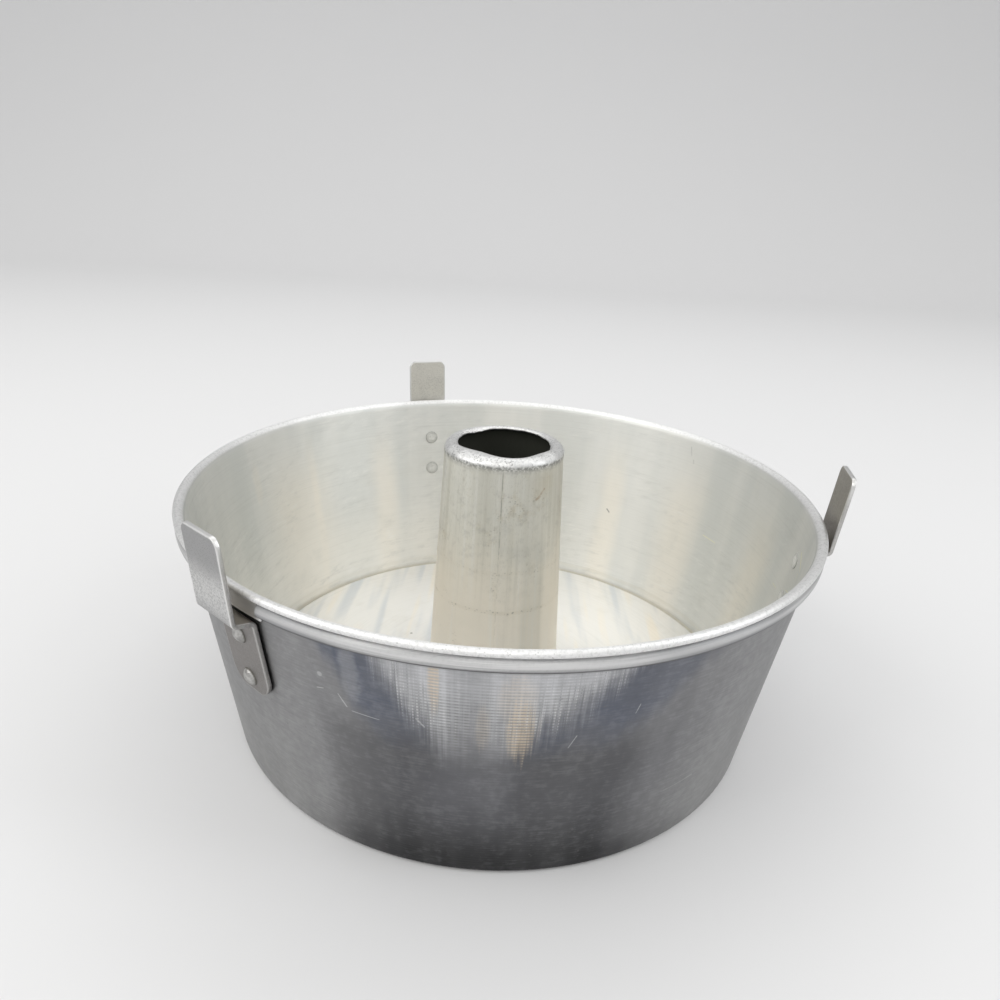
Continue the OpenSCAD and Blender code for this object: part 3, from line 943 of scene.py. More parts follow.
@dataclass(frozen=True)
class DiscFinish(Metal):
    """The base disc: bright from use, wiped streaky, with a residue line at its edge."""

    tone: Colour = (0.89, 0.88, 0.85)
    cool: Colour = (0.71, 0.735, 0.755)
    warm: Colour = (0.93, 0.88, 0.785)
    # Painted shade on the front of the disc, below the front wall
    front: Colour = (0.56, 0.575, 0.59)
    dulled: Colour = (0.74, 0.72, 0.66)
    scratch: Colour = (0.55, 0.54, 0.50)
    residue: Colour = (0.64, 0.61, 0.50)
    grime_and_shade: Colour = (0.22, 0.215, 0.18)
    # Radii at which residue lies: at the disc's edge and round the tube
    edge_r: float = 111.4 * MM
    tube_r: float = 30.2 * MM
    crumb_at: Point = (51.5, -14.5, 4.5)
    lines: SpunLines = SpunLines(pitch=1.3 * MM, depth=0.002 * MM)

    def material(self) -> bpy.types.Material:
        """The disc's material."""
        material, g = self.graph()
        where = g.place()
        x, y = where.part(0), where.part(1)
        radius = g.maths("LENGTH", g.vector(x, y, 0.0))
        scores = self.lines.scores(g, where, radius)
        clouds = g.noise(where, 28.0, 3.0, 0.55)
        mottle = g.noise(where, 90.0, 3.0, 0.6)
        wiped = g.noise(g.vector(x * 78.0, y * 7.0, 0.0), 1.0, 2.0, 0.6)
        colour = g.blend(g.step(wiped, 0.50, 0.68) * 0.8, self.tone, self.cool)
        colour = g.blend(g.step(wiped, 0.46, 0.34) * 0.8, colour, self.warm)
        # Darker towards the front: painted shade
        colour = g.blend(g.step(y, 0.026, 0.004) * 0.45, colour, self.front)
        colour = g.blend(g.step(mottle, 0.5, 0.8) * 0.25, colour, self.dulled)
        crept = radius + g.noise(where, 55.0, 3.0) * 0.002
        edge = g.step(crept, self.edge_r - 0.2 * MM, self.edge_r + 1.1 * MM)
        ring = g.step(crept, self.tube_r + 3.2 * MM, self.tube_r + 1.2 * MM)
        dirt_and_shade = g.most(edge * 0.30, ring * 0.45)
        colour = g.blend(dirt_and_shade, colour, self.residue)
        crumbs = g.step(g.cells(where, 62.0), 0.055, 0.035) * g.step(clouds, 0.50, 0.60)
        crumb = g.spot(where, self.crumb_at, 1.3, 0.7)
        colour = g.blend(g.most(crumbs * 0.7, crumb * 0.65), colour, self.grime_and_shade)
        flat = g.vector(x, 0.0, y)
        hair = g.most(g.hairlines(flat, 52.0, 9.0, 5.0, 0.25),
                      g.hairlines(flat, -15.0, 7.0, 6.0, 0.25))
        colour = g.blend(hair * g.step(clouds, 0.45, 0.6) * 0.4, colour, self.scratch)
        colour = g.blend(g.step(scores, 0.45, 0.8) * 0.06, colour, self.grime_and_shade)
        rough = 0.42 + clouds * 0.14 + dirt_and_shade * 0.25 + scores * 0.08
        normal = g.bump(scores, self.lines.depth)
        normal = g.bump(mottle, 0.05 * MM, normal)
        normal = g.bump(g.noise(where, 16.0, 1.0), 0.9 * MM, normal)
        self.close(g, colour, rough, normal, 1.0 - dirt_and_shade * 0.6)
        return material


@dataclass(frozen=True)
class TubeField:
    """What the layers of the tube's colour share.

    u is the direction from the front in degrees and z the height in metres. bands
    is noise drawn out upright, clouds and fine are coarse and fine noise, and above
    weakens a layer low on the tube.
    """

    where: Signal
    u: Signal
    z: Signal
    bands: Signal
    clouds: Signal
    fine: Signal
    above: Signal


@dataclass(frozen=True)
class TubeFinish(Metal):
    """The tube: pale yellowed metal with residue rings, painted shade inside, grained lip."""

    tone: Colour = (0.80, 0.79, 0.725)
    pale: Colour = (0.90, 0.895, 0.85)
    # Painted light low on the tube, reflected from the disc
    foot: Colour = (1.0, 0.945, 0.85)
    dull: Colour = (0.64, 0.62, 0.55)
    sheen: Colour = (0.93, 0.92, 0.86)
    bright: Colour = (0.98, 0.97, 0.93)
    grey: Colour = (0.62, 0.63, 0.61)
    weave: Colour = (0.55, 0.54, 0.49)
    yellowed: Colour = (0.62, 0.55, 0.40)
    bore_shade: Colour = (0.035, 0.037, 0.028)
    lip: Colour = (0.80, 0.80, 0.79)
    lip_grain: Colour = (0.45, 0.45, 0.45)
    grime_and_shade: Colour = (0.17, 0.17, 0.16)
    stain: Colour = (0.42, 0.27, 0.13)
    # Lower edge of each ring of residue, in mm, and how strong it is
    rings: Tuple[Tuple[float, float], ...] = ((71.6, 0.16), (53.3, 0.36))
    # A brown spill, in two strokes, and the yellowed place round it, in mm
    spills: Tuple[Tuple[Point, Point, float], ...] = (
        ((13.9, -21.4, 100.9), (15.6, -20.2, 102.0), 0.8),
        ((15.2, -20.5, 102.0), (17.0, -19.0, 104.6), 0.7))
    halo_at: Point = (16.5, -19.5, 107.0)
    halo_r: float = 9.0

    def metal_colour(self, g: Graph, at: TubeField) -> Signal:
        """Colour of the bare metal: banded upright, stained, with a woven grain and painted light
        low down.
        """
        u, z, bands, clouds, fine = at.u, at.z, at.bands, at.clouds, at.fine
        colour = g.blend(g.step(bands, 0.38, 0.66), self.tone, self.pale)
        colour = g.blend(g.step(u, 15.0, 60.0) * g.step(z, 0.060, 0.100) * 0.6, colour, self.dull)
        sheen = g.between(u + (bands - 0.5) * 14.0, -50.0, -30.0, 12.0)
        colour = g.blend(sheen * 0.8, colour, self.sheen)
        # Paler low on the tube: painted light reflected from the disc
        colour = g.blend(g.step(z + clouds * 0.02, 0.110, 0.052), colour, self.foot)
        stains = g.step(clouds, 0.54, 0.74) * g.step(fine, 0.35, 0.6) * at.above
        colour = g.blend(stains * 0.38, colour, self.yellowed)
        hairs = g.drawn(u * 0.20, z * 9.0, 3.0, 0.6)
        colour = g.blend(g.step(hairs, 0.50, 0.72) * at.above * 0.35, colour, self.dull)
        colour = g.blend(g.step(hairs, 0.48, 0.28) * 0.55, colour, self.bright)
        grey = g.step(g.noise(at.where, 42.0, 3.0, 0.6), 0.50, 0.70)
        colour = g.blend(grey * at.above * 0.30, colour, self.grey)
        weave = g.step(g.drawn(u * 0.9, z * 500.0, 2.0, 0.7), 0.50, 0.70)
        colour = g.blend(weave * at.above * g.step(clouds, 0.30, 0.60) * 0.28, colour, self.weave)
        return g.blend(g.step(fine, 0.50, 0.75) * at.above * 0.14, colour, self.grime_and_shade)

    def soil_and_painted_light(self, g: Graph, at: TubeField, colour: Signal) -> Signal:
        """Lays on the rings of residue, dots, the spill and the painted bright lower streaks."""
        u, z, clouds, fine = at.u, at.z, at.clouds, at.fine
        stretched = g.vector(at.where.part(0), at.where.part(1), z * 1.4)
        dots = g.step(g.cells(stretched, 640.0), 0.36, 0.20)
        height = z + clouds * 0.004 + fine * 0.0015
        for low, much in self.rings:
            near = g.between(height, low * MM, (low + 0.7) * MM, 0.9 * MM)
            colour = g.blend(near * dots * much, colour, self.grime_and_shade)
            colour = g.blend(near * much * 0.35, colour, self.yellowed)
        colour = g.blend(dots * g.step(clouds, 0.56, 0.68) * 0.25, colour, self.grime_and_shade)
        halo = g.spot(at.where, self.halo_at, self.halo_r)
        colour = g.blend(halo * 0.35, colour, self.yellowed)
        spill = g.most(*(g.stroke(at.where, *stroke) for stroke in self.spills))
        colour = g.blend(spill * g.step(fine, 0.35, 0.55) * 0.6, colour, self.stain)
        # Bright upright streaks low on the tube: painted highlights
        lean = u + (at.bands - 0.5) * 16.0
        streaks = g.most(g.between(lean, -64.0, -46.0, 9.0), g.between(lean, 52.0, 70.0, 9.0),
                         g.between(lean, -30.0, -12.0, 10.0) * 0.6)
        colour = g.blend(streaks * g.step(z, 0.088, 0.050) * 0.75, colour, self.foot)
        return g.blend(g.between(lean, 28.0, 40.0, 8.0) * 0.30, colour, self.dull)

    def material(self) -> bpy.types.Material:
        """The tube's material."""
        material, g = self.graph()
        where, bore, lip, seam = g.place(), g.mark("bore"), g.mark("lip"), g.mark("seam")
        z = where.part(2)
        u = g.direction(where)
        at = TubeField(where, u, z, bands=g.drawn(u * 0.055, z * 5.0, 3.0, 0.6),
                       clouds=g.noise(where, 70.0, 4.0, 0.65),
                       fine=g.noise(where, 260.0, 3.0, 0.6),
                       above=0.20 + g.step(z, 0.040, 0.085) * 0.80)
        colour = self.soil_and_painted_light(g, at, self.metal_colour(g, at))
        colour = g.blend(seam * g.step(at.fine, 0.62, 0.42) * 0.5, colour, self.grime_and_shade)
        grain = g.noise(where, 950.0, 3.0, 0.7)
        pits = (g.step(g.cells(where, 900.0), 0.40, 0.18)
                * g.step(g.noise(where, 240.0), 0.40, 0.58))
        band = g.between(z + (at.fine - 0.5) * 0.002, 0.1124, 0.1142, 0.0012)
        worn = g.most(pits * 0.55, band * g.step(grain, 0.38, 0.55) * 0.75)
        top = g.blend(g.step(grain, 0.40, 0.65) * 0.4, self.lip, self.lip_grain)
        colour = g.blend(lip, colour, g.blend(worn, top, self.grime_and_shade))
        # The bore is nearly black: painted shade inside the tube
        colour = g.blend(bore, colour, self.bore_shade)
        rough = 0.40 + at.clouds * 0.14 + bore * 0.3 + worn * lip * 0.15
        normal = g.bump(at.fine, 0.03 * MM)
        normal = g.bump(grain * lip - worn * lip * 1.5, 0.06 * MM, normal)
        normal = g.bump(at.bands, 0.6 * MM, normal)
        self.close(g, colour, rough, normal, 1.0 - bore * 0.8)
        return material


@dataclass(frozen=True)
class FootFinish(Metal):
    """Rolled strip: dull outside, speckled bright at mid height, edges rubbed bright."""

    outer: Colour = (0.40, 0.40, 0.405)
    inner: Colour = (0.68, 0.66, 0.61)
    leg: Colour = (0.285, 0.27, 0.26)
    # Painted light on the shelf, which lies in shade
    shelf: Colour = (0.74, 0.69, 0.62)
    bright: Colour = (0.80, 0.80, 0.79)
    clouded: Colour = (0.52, 0.515, 0.50)
    sheared: Colour = (0.46, 0.45, 0.435)
    torn: Colour = (0.30, 0.295, 0.28)
    soil: Colour = (0.22, 0.20, 0.175)
    grime_and_shade: Colour = (0.14, 0.135, 0.125)
    soil_and_painted_light: float = 0.15
    # Heights at which the outer face is rubbed bright and the shelf stands, in metres
    rubbed_z: float = 0.098
    shelf_z: float = 0.0885

    def material(self) -> bpy.types.Material:
        """The material of a foot."""
        material, g = self.graph()
        where = g.place()
        edge, leg, face, cut = (g.mark(name) for name in ("edge", "leg", "inward", "cut"))
        z = where.part(2)
        clouds = g.noise(where, 70.0, 4.0, 0.6)
        fine = g.noise(where, 1250.0, 3.0, 0.7)
        colour = g.blend(face, self.outer, self.inner)
        rubbed = g.step(g.size(z - self.rubbed_z + (clouds - 0.5) * 0.005), 0.013, 0.002)
        rubbed = rubbed * (1.0 - face) * (1.0 - leg)
        colour = g.blend(rubbed * (0.30 + g.step(fine, 0.38, 0.58) * 0.55), colour, self.bright)
        colour = g.blend(g.step(clouds, 0.35, 0.75) * 0.2, colour, self.clouded)
        colour = g.blend(leg * 0.9, colour, self.leg)
        colour = g.blend(leg * g.step(fine, 0.50, 0.66) * 0.30, colour, self.sheared)
        specks = g.step(g.cells(where, 1700.0), 0.36, 0.18) * g.step(clouds, 0.36, 0.56)
        colour = g.blend(specks * 0.35, colour, self.grime_and_shade)
        colour = g.blend(g.step(fine, 0.5, 0.8) * 0.2, colour, self.grime_and_shade)
        soil = face * (0.3 + g.step(fine, 0.42, 0.62) * 0.4 + g.step(z, 0.106, 0.096) * 0.6)
        colour = g.blend(soil * self.soil_and_painted_light, colour, self.soil)
        # Paler on the shelf, which lies in shade: painted light
        shelf = g.step(g.size(z - self.shelf_z), 0.004, 0.002) * face
        colour = g.blend(shelf * 0.7, colour, self.shelf)
        worn = g.step(edge + (fine - 0.5) * 0.35, 0.38, 0.72)
        colour = g.blend(worn * (0.9 - leg * 0.62), colour, self.bright)
        sheared = g.blend(g.step(fine, 0.40, 0.65) * 0.5, self.sheared, self.torn)
        cut = g.step(cut, 0.70, 0.95) * (0.85 - g.step(z, 0.108, 0.117) * 0.7)
        colour = g.blend(cut, colour, sheared)
        rough = 0.40 + clouds * 0.14 - worn * 0.10
        normal = g.bump(fine, 0.03 * MM)
        normal = g.bump(clouds, 0.4 * MM, normal)
        self.close(g, colour, rough, normal)
        return material


@dataclass(frozen=True)
class RivetFinish(Metal):
    """Rivets: rubbed crowns, painted shade at the foot of the head, tails like the wall."""

    tone: Colour = (0.52, 0.515, 0.50)
    dent: Colour = (0.30, 0.295, 0.285)
    tail: Colour = (0.76, 0.76, 0.73)
    tail_grain: Colour = (0.62, 0.62, 0.59)
    tail_rim: Colour = (0.40, 0.40, 0.38)
    grime_and_shade: Colour = (0.14, 0.135, 0.12)

    def material(self) -> bpy.types.Material:
        """The material of a rivet."""
        material, g = self.graph()
        where, foot, tail, rim = g.place(), g.mark("foot"), g.mark("tail"), g.mark("rim")
        fine = g.noise(where, 800.0, 3.0, 0.65)
        dents = g.noise(where, 420.0, 3.0, 0.6)
        colour = g.blend(g.step(dents, 0.40, 0.60) * 0.75, self.tone, self.dent)
        # Darker at the foot of the head, beside the wall: painted shade
        dirt_and_shade = g.step(foot + (fine - 0.5) * 0.5, 0.45, 0.95)
        colour = g.blend(dirt_and_shade, colour, self.grime_and_shade)
        flat = g.blend(g.step(fine, 0.4, 0.7) * 0.25, self.tail, self.tail_grain)
        flat = g.blend(rim * 0.55, flat, self.tail_rim)
        colour = g.blend(tail, colour, flat)
        rough = 0.33 + fine * 0.15 + dirt_and_shade * 0.3 + tail * 0.08
        normal = g.bump(fine, 0.03 * MM)
        normal = g.bump(dents, 0.7 * MM, normal)
        self.close(g, colour, rough, normal, 1.0 - dirt_and_shade * (1.0 - tail) * 0.6)
        return material


# Pieces of the pan


@dataclass
class SubAssembly:
    """What the pieces of the pan share: a body and the way a piece joins it."""

    body: Body
    slot: Slot

    def join(self, piece: bpy.types.Object, node: str, material: bpy.types.Material) -> None:
        """Dresses a piece, puts it on its body and lets it stand for a CAD node.

        Args:
            piece: the finished object.
            node: the CAD node that it replaces.
            material: its finish.
        """
        piece.data.materials.append(material)
        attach(piece, self.body.value)
        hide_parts(node)


@dataclass
class PanRing(SubAssembly):
    """The drawn ring with its folded, rolled rim, pressed flat over each foot."""

    body: Body = Body.RING
    slot: Slot = Slot.PAN
    height: float = 100.5
    base_r: float = BASE_R
    lean: float = WALL_LEAN
    sheet: float = 1.0
    seat_h: float = 3.3
    seat_w: float = 6.0
    step_slope: float = 45.0
    step_r: float = 1.5
    stand_w: float = 3.0
    corner_r: float = 2.5
    flare_r: float = 3.2
    flare_rise: float = 12.0
    fold_r: float = 1.25
    tuck: float = 0.3
    groove_r: float = 0.9
    bead_r: float = 2.3
    bead_slope: float = 30.0
    bead_gap: float = 0.4
    bury: float = 0.1
    press_half_w: float = 14.5
    press_l: float = 8.0
    drop: float = 0.15
    # Points on the groove, on the bead and on its inner hem
    groove_count: int = 6
    bead_count: int = 26
    hem_count: int = 4
    # Heights inside at which the rim's finish starts and is full, and of its crease
    rim_z: Tuple[float, float] = (98.7, 99.4)
    crease_z: float = 98.6
    crease_w: float = 0.45
    feet_at: Tuple[float, float, float] = (110.0, 230.0, 350.0)
    jog: float = 0.32

    def wall_r(self, z: float) -> float:
        """Outside radius of the wall at a height: base_r + z tan(lean)."""
        return self.base_r + z * math.tan(math.radians(self.lean))

    def wall_line(self) -> SheetLine:
        """Middle line of the ring from its seat to the end of the flare."""
        up = 90 - self.lean
        t = self.sheet

        def across(a: float, b: float, r: float) -> float:
            """How far a bend of radius r from angle a to angle b goes outwards."""
            return r * abs(math.sin(math.radians(b)) - math.sin(math.radians(a)))

        def rise(a: float, b: float, r: float) -> float:
            """How far a bend of radius r from angle a to angle b goes up."""
            return r * abs(math.cos(math.radians(b)) - math.cos(math.radians(a)))

        level = t / math.cos(math.radians(self.lean))
        corner_end = t / 2 + rise(0, up, self.corner_r)
        corner_x = self.wall_r(corner_end) - level / 2 - across(0, up, self.corner_r)
        fall = self.seat_h - t - 2 * rise(0, self.step_slope, self.step_r)
        step_l = fall / math.sin(math.radians(self.step_slope))
        step_w = (2 * across(0, self.step_slope, self.step_r)
                  + step_l * math.cos(math.radians(self.step_slope)))
        seat_x = corner_x - self.stand_w - step_w - self.seat_w
        below = (self.fold_r - t / 2) * (1 - math.cos(math.radians(self.flare_rise)))
        flare_end = self.height - t / 2 - below
        flare_start = flare_end - rise(up, self.flare_rise, self.flare_r)
        wall_l = (flare_start - corner_end) / math.cos(math.radians(self.lean))
        return trace([seat_x, self.seat_h - t / 2], 0.0, [
            Run(self.seat_w, -self.step_slope, self.step_r),
            Run(step_l, self.step_slope, self.step_r),
            Run(self.stand_w, up, self.corner_r),
            Run(wall_l, self.flare_rise - up, self.flare_r),
        ], step=2.6)

    def tail(self, fold: np.ndarray, pressed: bool) -> Tuple[np.ndarray, np.ndarray]:
        """Outer and inner side of the sheet that hangs below the fold.

        Both start at the groove. The rolled form bends round a bead of radius
        bead_r and ends inwards; the pressed form goes straight down along the
        wall. Both have as many points, so that one can turn into the other.

        Args:
            fold: centre of the fold.
            pressed: True for the form over a foot.

        Returns:
            Points of the visible side, downwards, and of the hidden side, upwards.
        """
        half, count = self.sheet / 2, self.groove_count
        groove = fold + [-self.tuck, half - self.fold_r + self.bury - self.groove_r]
        near, far = self.groove_r - half, self.groove_r + half
        first = 180 - math.degrees(math.asin(min(1.0, self.drop / near)))
        if pressed:
            last = 180 - self.lean
            ahead, left = ahead_of(270 - self.lean), left_of(270 - self.lean)
            middle = groove - self.groove_r * left
            steps = self.bead_count + self.hem_count + 1
            along = np.linspace(0, self.press_l - half, steps)[1:, None]
            outer = [round_points(groove, near, np.linspace(first, last, count)),
                     middle + half * left + along * ahead]
            inner = [middle - half * left + along[::-1] * ahead,
                     round_points(groove, far, np.linspace(last, last - 8, count))]
            end = middle + along[-1] * ahead
            start_angle = math.degrees(math.atan2(left[1], left[0]))
        else:
            last = 270 - self.bead_slope
            left = left_of(360 - self.bead_slope)
            bead = groove - (self.groove_r + self.bead_r) * left
            top = math.degrees(math.atan2(left[1], left[0]))
            turn = np.linspace(top, -90, self.bead_count + 1)[1:]
            wall_x = self.wall_r(bead[1] - self.bead_r)
            length = max(0.2, bead[0] - self.bead_gap - wall_x - half)
            along = np.linspace(0, -length, self.hem_count + 1)[1:, None] * np.array([1.0, 0.0])
            low = bead - [0, self.bead_r]
            outer = [round_points(groove, near, np.linspace(first, last, count)),
                     round_points(bead, self.bead_r + half, turn), low - [0, half] + along]
            inner = [low + [0, half] + along[::-1],
                     round_points(bead, self.bead_r - half, turn[::-1]),
                     round_points(groove, far, np.linspace(last, 180, count))]
            end, start_angle = low + along[-1], -90.0
        cap = round_points(end, half, start_angle - np.linspace(0, 180, 8)[1:-1])
        return np.concatenate([*outer, cap]), np.concatenate(inner)

    def slack(self, angles: np.ndarray, z: np.ndarray) -> np.ndarray:
        """How far the worn ring lies inside its true circle, in mm.

        A sum of slow cosines round the ring, each from 0 up, that grows with z.
        """
        turn = np.radians(angles)
        waves = sum(size * (1 + np.cos(often * turn + start))
                    for size, often, start in ((0.10, 2, -0.7), (0.03, 5, 1.1), (0.018, 11, 0.4)))
        return waves * np.clip(z / self.height, 0, 1) ** 1.5

    def build(self, finish: PanFinish) -> bpy.types.Object:
        """Builds and dresses the ring.

        Args:
            finish: its finish.

        Returns:
            The object.
        """
        line, t = self.wall_line(), self.sheet
        inside, outside = line.side(t / 2), line.side(-t / 2)
        fold = outside[-1] + (t - self.fold_r) * left_of(self.flare_rise)
        turn = np.linspace(90 + self.flare_rise, -90, 27)[1:]
        over = np.concatenate([round_points(fold, self.fold_r, turn),
                               [fold + [-self.tuck, -self.fold_r]]])
        hidden_x = fold[0] - self.tuck - self.groove_r - t / 2 - 0.3
        back = outside[outside[:, 0] < hidden_x][::-1]
        half_turn = math.degrees(self.press_half_w / (fold[0] + self.fold_r))
        jogs = [at + side * half_turn for at in self.feet_at for side in (-1, 1)]
        angles = angles_round(288, jogs, 2 * self.jog, 15)
        columns = len(angles)
        gap = np.min([np.abs(turn_gap(angles, at)) for at in self.feet_at], axis=0)
        pressed = 1 - ease(gap, half_turn - self.jog, half_turn + self.jog)
        rolled_out, rolled_in = self.tail(fold, False)
        flat_out, flat_in = self.tail(fold, True)

        def turned(rolled: np.ndarray, flat: np.ndarray) -> np.ndarray:
            """The rolled points turned about the axis, changing to the flat ones."""
            share = pressed[None, :, None]
            return rolled[:, None] * (1 - share) + flat[:, None] * share

        parts = [all_round(inside, columns), all_round(over, columns),
                 turned(rolled_out, flat_out), turned(rolled_in, flat_in),
                 all_round(back, columns)]
        outline, first = np.concatenate(parts)[::-1], first_rows(parts)
        inner, rim, bead, crease = (np.zeros(len(outline)) for _ in range(4))
        inner[:first[1]] = 1
        rim[:first[1]] = ease(inside[:, 1], *self.rim_z)
        rim[first[1]:first[2]] = 1
        bead[first[2]:first[4]] = 1
        crease[:first[1]] = np.exp(-((inside[:, 1] - self.crease_z) / self.crease_w) ** 2)
        groove, worn = np.zeros((2, len(outline), columns))
        # Painted shade in the groove and under the bead; bright on its crest as wear and a painted
        # highlight, and where it is pressed as painted light
        groove[first[2] - 1:first[2] + 4] = 0.75 * (1 - pressed)
        below = np.arange(self.bead_count + self.hem_count + 1.0)
        groove[first[2] + self.groove_count + below.astype(int)] = (
            ease(below, 12, 17)[:, None] * (1 - pressed))
        crest = np.arange(24)
        worn[first[2] + crest] = np.exp(-((crest - 13) / 4.0) ** 2)[:, None] * 0.55 * (1 - pressed)
        worn[first[2]:first[4]] = np.maximum(worn[first[2]:first[4]], 0.9 * pressed)
        # The pressed stretch's lower edge, in the foot's shade: a painted highlight
        foot_edge = first[2] + self.bead_count + self.hem_count + 3 + np.arange(9)
        worn[foot_edge] = np.maximum(worn[foot_edge], 1.2 * pressed)
        r, z = outline[..., 0], outline[..., 1]
        marks = {name: all_round(mark[::-1], columns)
                 for name, mark in (("inner", inner), ("rim", rim), ("bead", bead),
                                    ("crease", crease))}
        marks["run"] = run_along(r, z)[:, :1].repeat(columns, axis=1) * MM
        marks["groove"], marks["worn"] = groove[::-1], worn[::-1]
        points = revolved(r - self.slack(angles, z), z, angles)
        piece = lay_mesh("pan_ring", [Patch(points, True, True, marks)])
        self.join(piece, "pan_shell", finish.material())
        return piece


@dataclass
class BaseDisc(SubAssembly):
    """The loose base disc, slightly sprung by heat."""

    body: Body = Body.INSERT
    slot: Slot = Slot.DISC
    radius: float = 111.7
    hole_r: float = 30.25
    low: float = 3.5
    sheet: float = 1.0
    spring: float = 0.12

    def build(self, finish: DiscFinish) -> bpy.types.Object:
        """Builds and dresses the disc.

        The section is a sheet with half-round ends, lowered by
        spring sin(pi s) (1 - cos(3 a + 0.5)) / 2, with s from 0 at the hole to 1 at
        the edge and a the direction.

        Args:
            finish: its finish.

        Returns:
            The object.
        """
        half = self.sheet / 2
        length = self.radius - self.hole_r - 2 * half
        line = trace([self.hole_r + half, self.low + half], 0.0, [Run(length)], step=2.0)
        outline = facing_out(line.outline(self.sheet))
        angles = angles_round(288)
        share = np.clip((outline[:, 0] - self.hole_r) / (self.radius - self.hole_r), 0, 1)
        swing = np.sin(np.pi * share)[:, None] * (1 - np.cos(3 * np.radians(angles) + 0.5))[None]
        r = np.repeat(outline[:, :1], len(angles), axis=1)
        z = outline[:, 1:] - self.spring * swing / 2
        run = np.repeat(outline[:, :1], len(angles), axis=1) * MM
        piece = lay_mesh("base_plate", [Patch(revolved(r, z, angles), True, True, {"run": run})])
        self.join(piece, "base_disc", finish.material())
        return piece


@dataclass
class CentreTube(SubAssembly):
    """The tapered tube with its lap seam and its hand-rolled, uneven lip."""

    body: Body = Body.INSERT
    slot: Slot = Slot.TUBE
    foot_r: float = 30.2
    neck_r: float = 25.2
    top: float = 117.5
    sheet: float = 1.0
    roll_r: float = 2.7
    flange_w: float = 3.8
    flange_z: float = 3.0
    clinch_r: float = 1.0
    collar_top: float = 5.1
    collar_bend_r: float = 6.0
    seam_at: float = 270.3
    seam_depth: float = 0.18
    seam_w: float = 0.20
    lap_depth: float = 0.10
    sag: float = 0.05
    wall_r: float = 27.0
    roll_count: int = 30
    # Heights at which the lip's finish starts and is full
    lip_z: Tuple[float, float] = (112.6, 113.8)
    # Number of points over which the bore's finish starts behind the lip's edge
    bore_fade: int = 8
    # Directions in degrees, and how far the lip is rolled in there
    lip_at: Tuple[float, ...] = (
        0, 20, 45, 68, 90, 108, 122, 133, 145, 165, 195, 225, 250, 285, 320)
    lip_turn: Tuple[float, ...] = (
        152, 138, 126, 120, 120, 124, 137, 145, 129, 132, 152, 160, 156, 160, 162)
    # Where the lip is beaten flat, over what half width, and how much further in it reaches
    beaten: Tuple[Tuple[float, float, float], ...] = ((236.0, 48.0, 2.4), (318.0, 32.0, 1.0))

    def build(self, finish: TubeFinish) -> bpy.types.Object:
        """Builds and dresses the tube.

        Up to the roll the section is a bent sheet. The roll is an arc of an
        ellipse, c + (a cos t, b sin t), whose end t and half width a change with
        the direction.

        Args:
            finish: its finish.

        Returns:
            The object.
        """
        half = self.sheet / 2
        roll_z = self.top - half - self.roll_r
        lean = math.degrees(math.atan((self.foot_r - self.neck_r) / (roll_z - self.collar_top)))
        wall_l = (roll_z - self.collar_top) / math.cos(math.radians(lean))
        start_x = self.foot_r - half + self.clinch_r + self.flange_w - half
        line = trace([start_x, self.flange_z], 180.0, [
            Run(self.flange_w - half, -90.0, self.clinch_r),
            Run(self.collar_top - self.flange_z - self.clinch_r, lean, self.collar_bend_r),
            Run(wall_l),
        ], step=1.6)
        angles = angles_round(240, [self.seam_at], 2.4, 41)
        columns = len(angles)
        turn = np.radians(angles)
        ends = np.interp(angles, self.lip_at, self.lip_turn, period=360)
        for size, often, start in ((1.6, 9, 0.4), (1.1, 17, 2.0), (0.8, 29, 1.0)):
            ends = ends + size * np.cos(often * turn + start)
        wide = self.roll_r + sum(
            much * (1 - ease(np.abs(turn_gap(angles, at)), 0.0, half))
            for at, half, much in self.beaten)
        top = line.points[-1]
        centre_z = top[1] - self.roll_r * math.sin(math.radians(lean))
        centre_x = top[0] - wide * math.cos(math.radians(lean))
        share = np.linspace(0, 1, self.roll_count + 1)[1:, None]
        along = np.radians(lean + (ends - 8) * share)

        def roll(offset: float) -> np.ndarray:
            """The rolled-in line of the lip at an offset from its middle."""
            r = centre_x + (wide + offset) * np.cos(along)
            z = centre_z + (self.roll_r + offset) * np.sin(along)
            return np.stack([r, z], axis=-1)

        outer_roll, inner_roll = roll(half), roll(-half)
        tip = (outer_roll[-1] + inner_roll[-1]) / 2
        cap = half_round(tip, outer_roll[-1] - tip, -1.0)
        base_cap = half_round(line.points[0], half * line.lefts[0], -1.0)
        outer, inner = line.side(-half), line.side(half)
        parts = [all_round(outer, columns), outer_roll, cap, inner_roll[::-1],
                 all_round(inner[::-1], columns), all_round(base_cap, columns)]
        outline, first = np.concatenate(parts), first_rows(parts)
        r, z = outline[..., 0], outline[..., 1]
        bore = np.zeros(r.shape)
        bore[first[3]:first[5]] = 1
        bore[first[3]:first[3] + self.bore_fade] = np.linspace(0, 1, self.bore_fade)[:, None]
        lip = ease(z, *self.lip_z) * (1 - bore)
        gap = turn_gap(angles, self.seam_at)
        arc = np.radians(gap) * self.wall_r
        on_wall = ease(z, 6, 9) * (1 - ease(z, 112, 114)) * (np.arange(len(r)) < first[1])[:, None]
        groove = np.exp(-(arc / self.seam_w) ** 2) * on_wall * (0.25 + 0.75 * ease(z, 66, 88))
        lap = ease(gap, -0.3, 0.3) * np.exp(-np.clip(gap, 0, None) / 9) * on_wall
        sag = self.sag * (2 + np.cos(3 * turn + 0.8) + np.cos(7 * turn)) * on_wall
        r = r - self.seam_depth * groove - sag - self.lap_depth * (1 - lap) * on_wall
        marks = {"bore": bore, "lip": lip, "seam": groove}
        piece = lay_mesh("tube_cone", [Patch(revolved(r, z, angles), True, True, marks)], 50.0)
        self.join(piece, "center_tube", finish.material())
        return piece


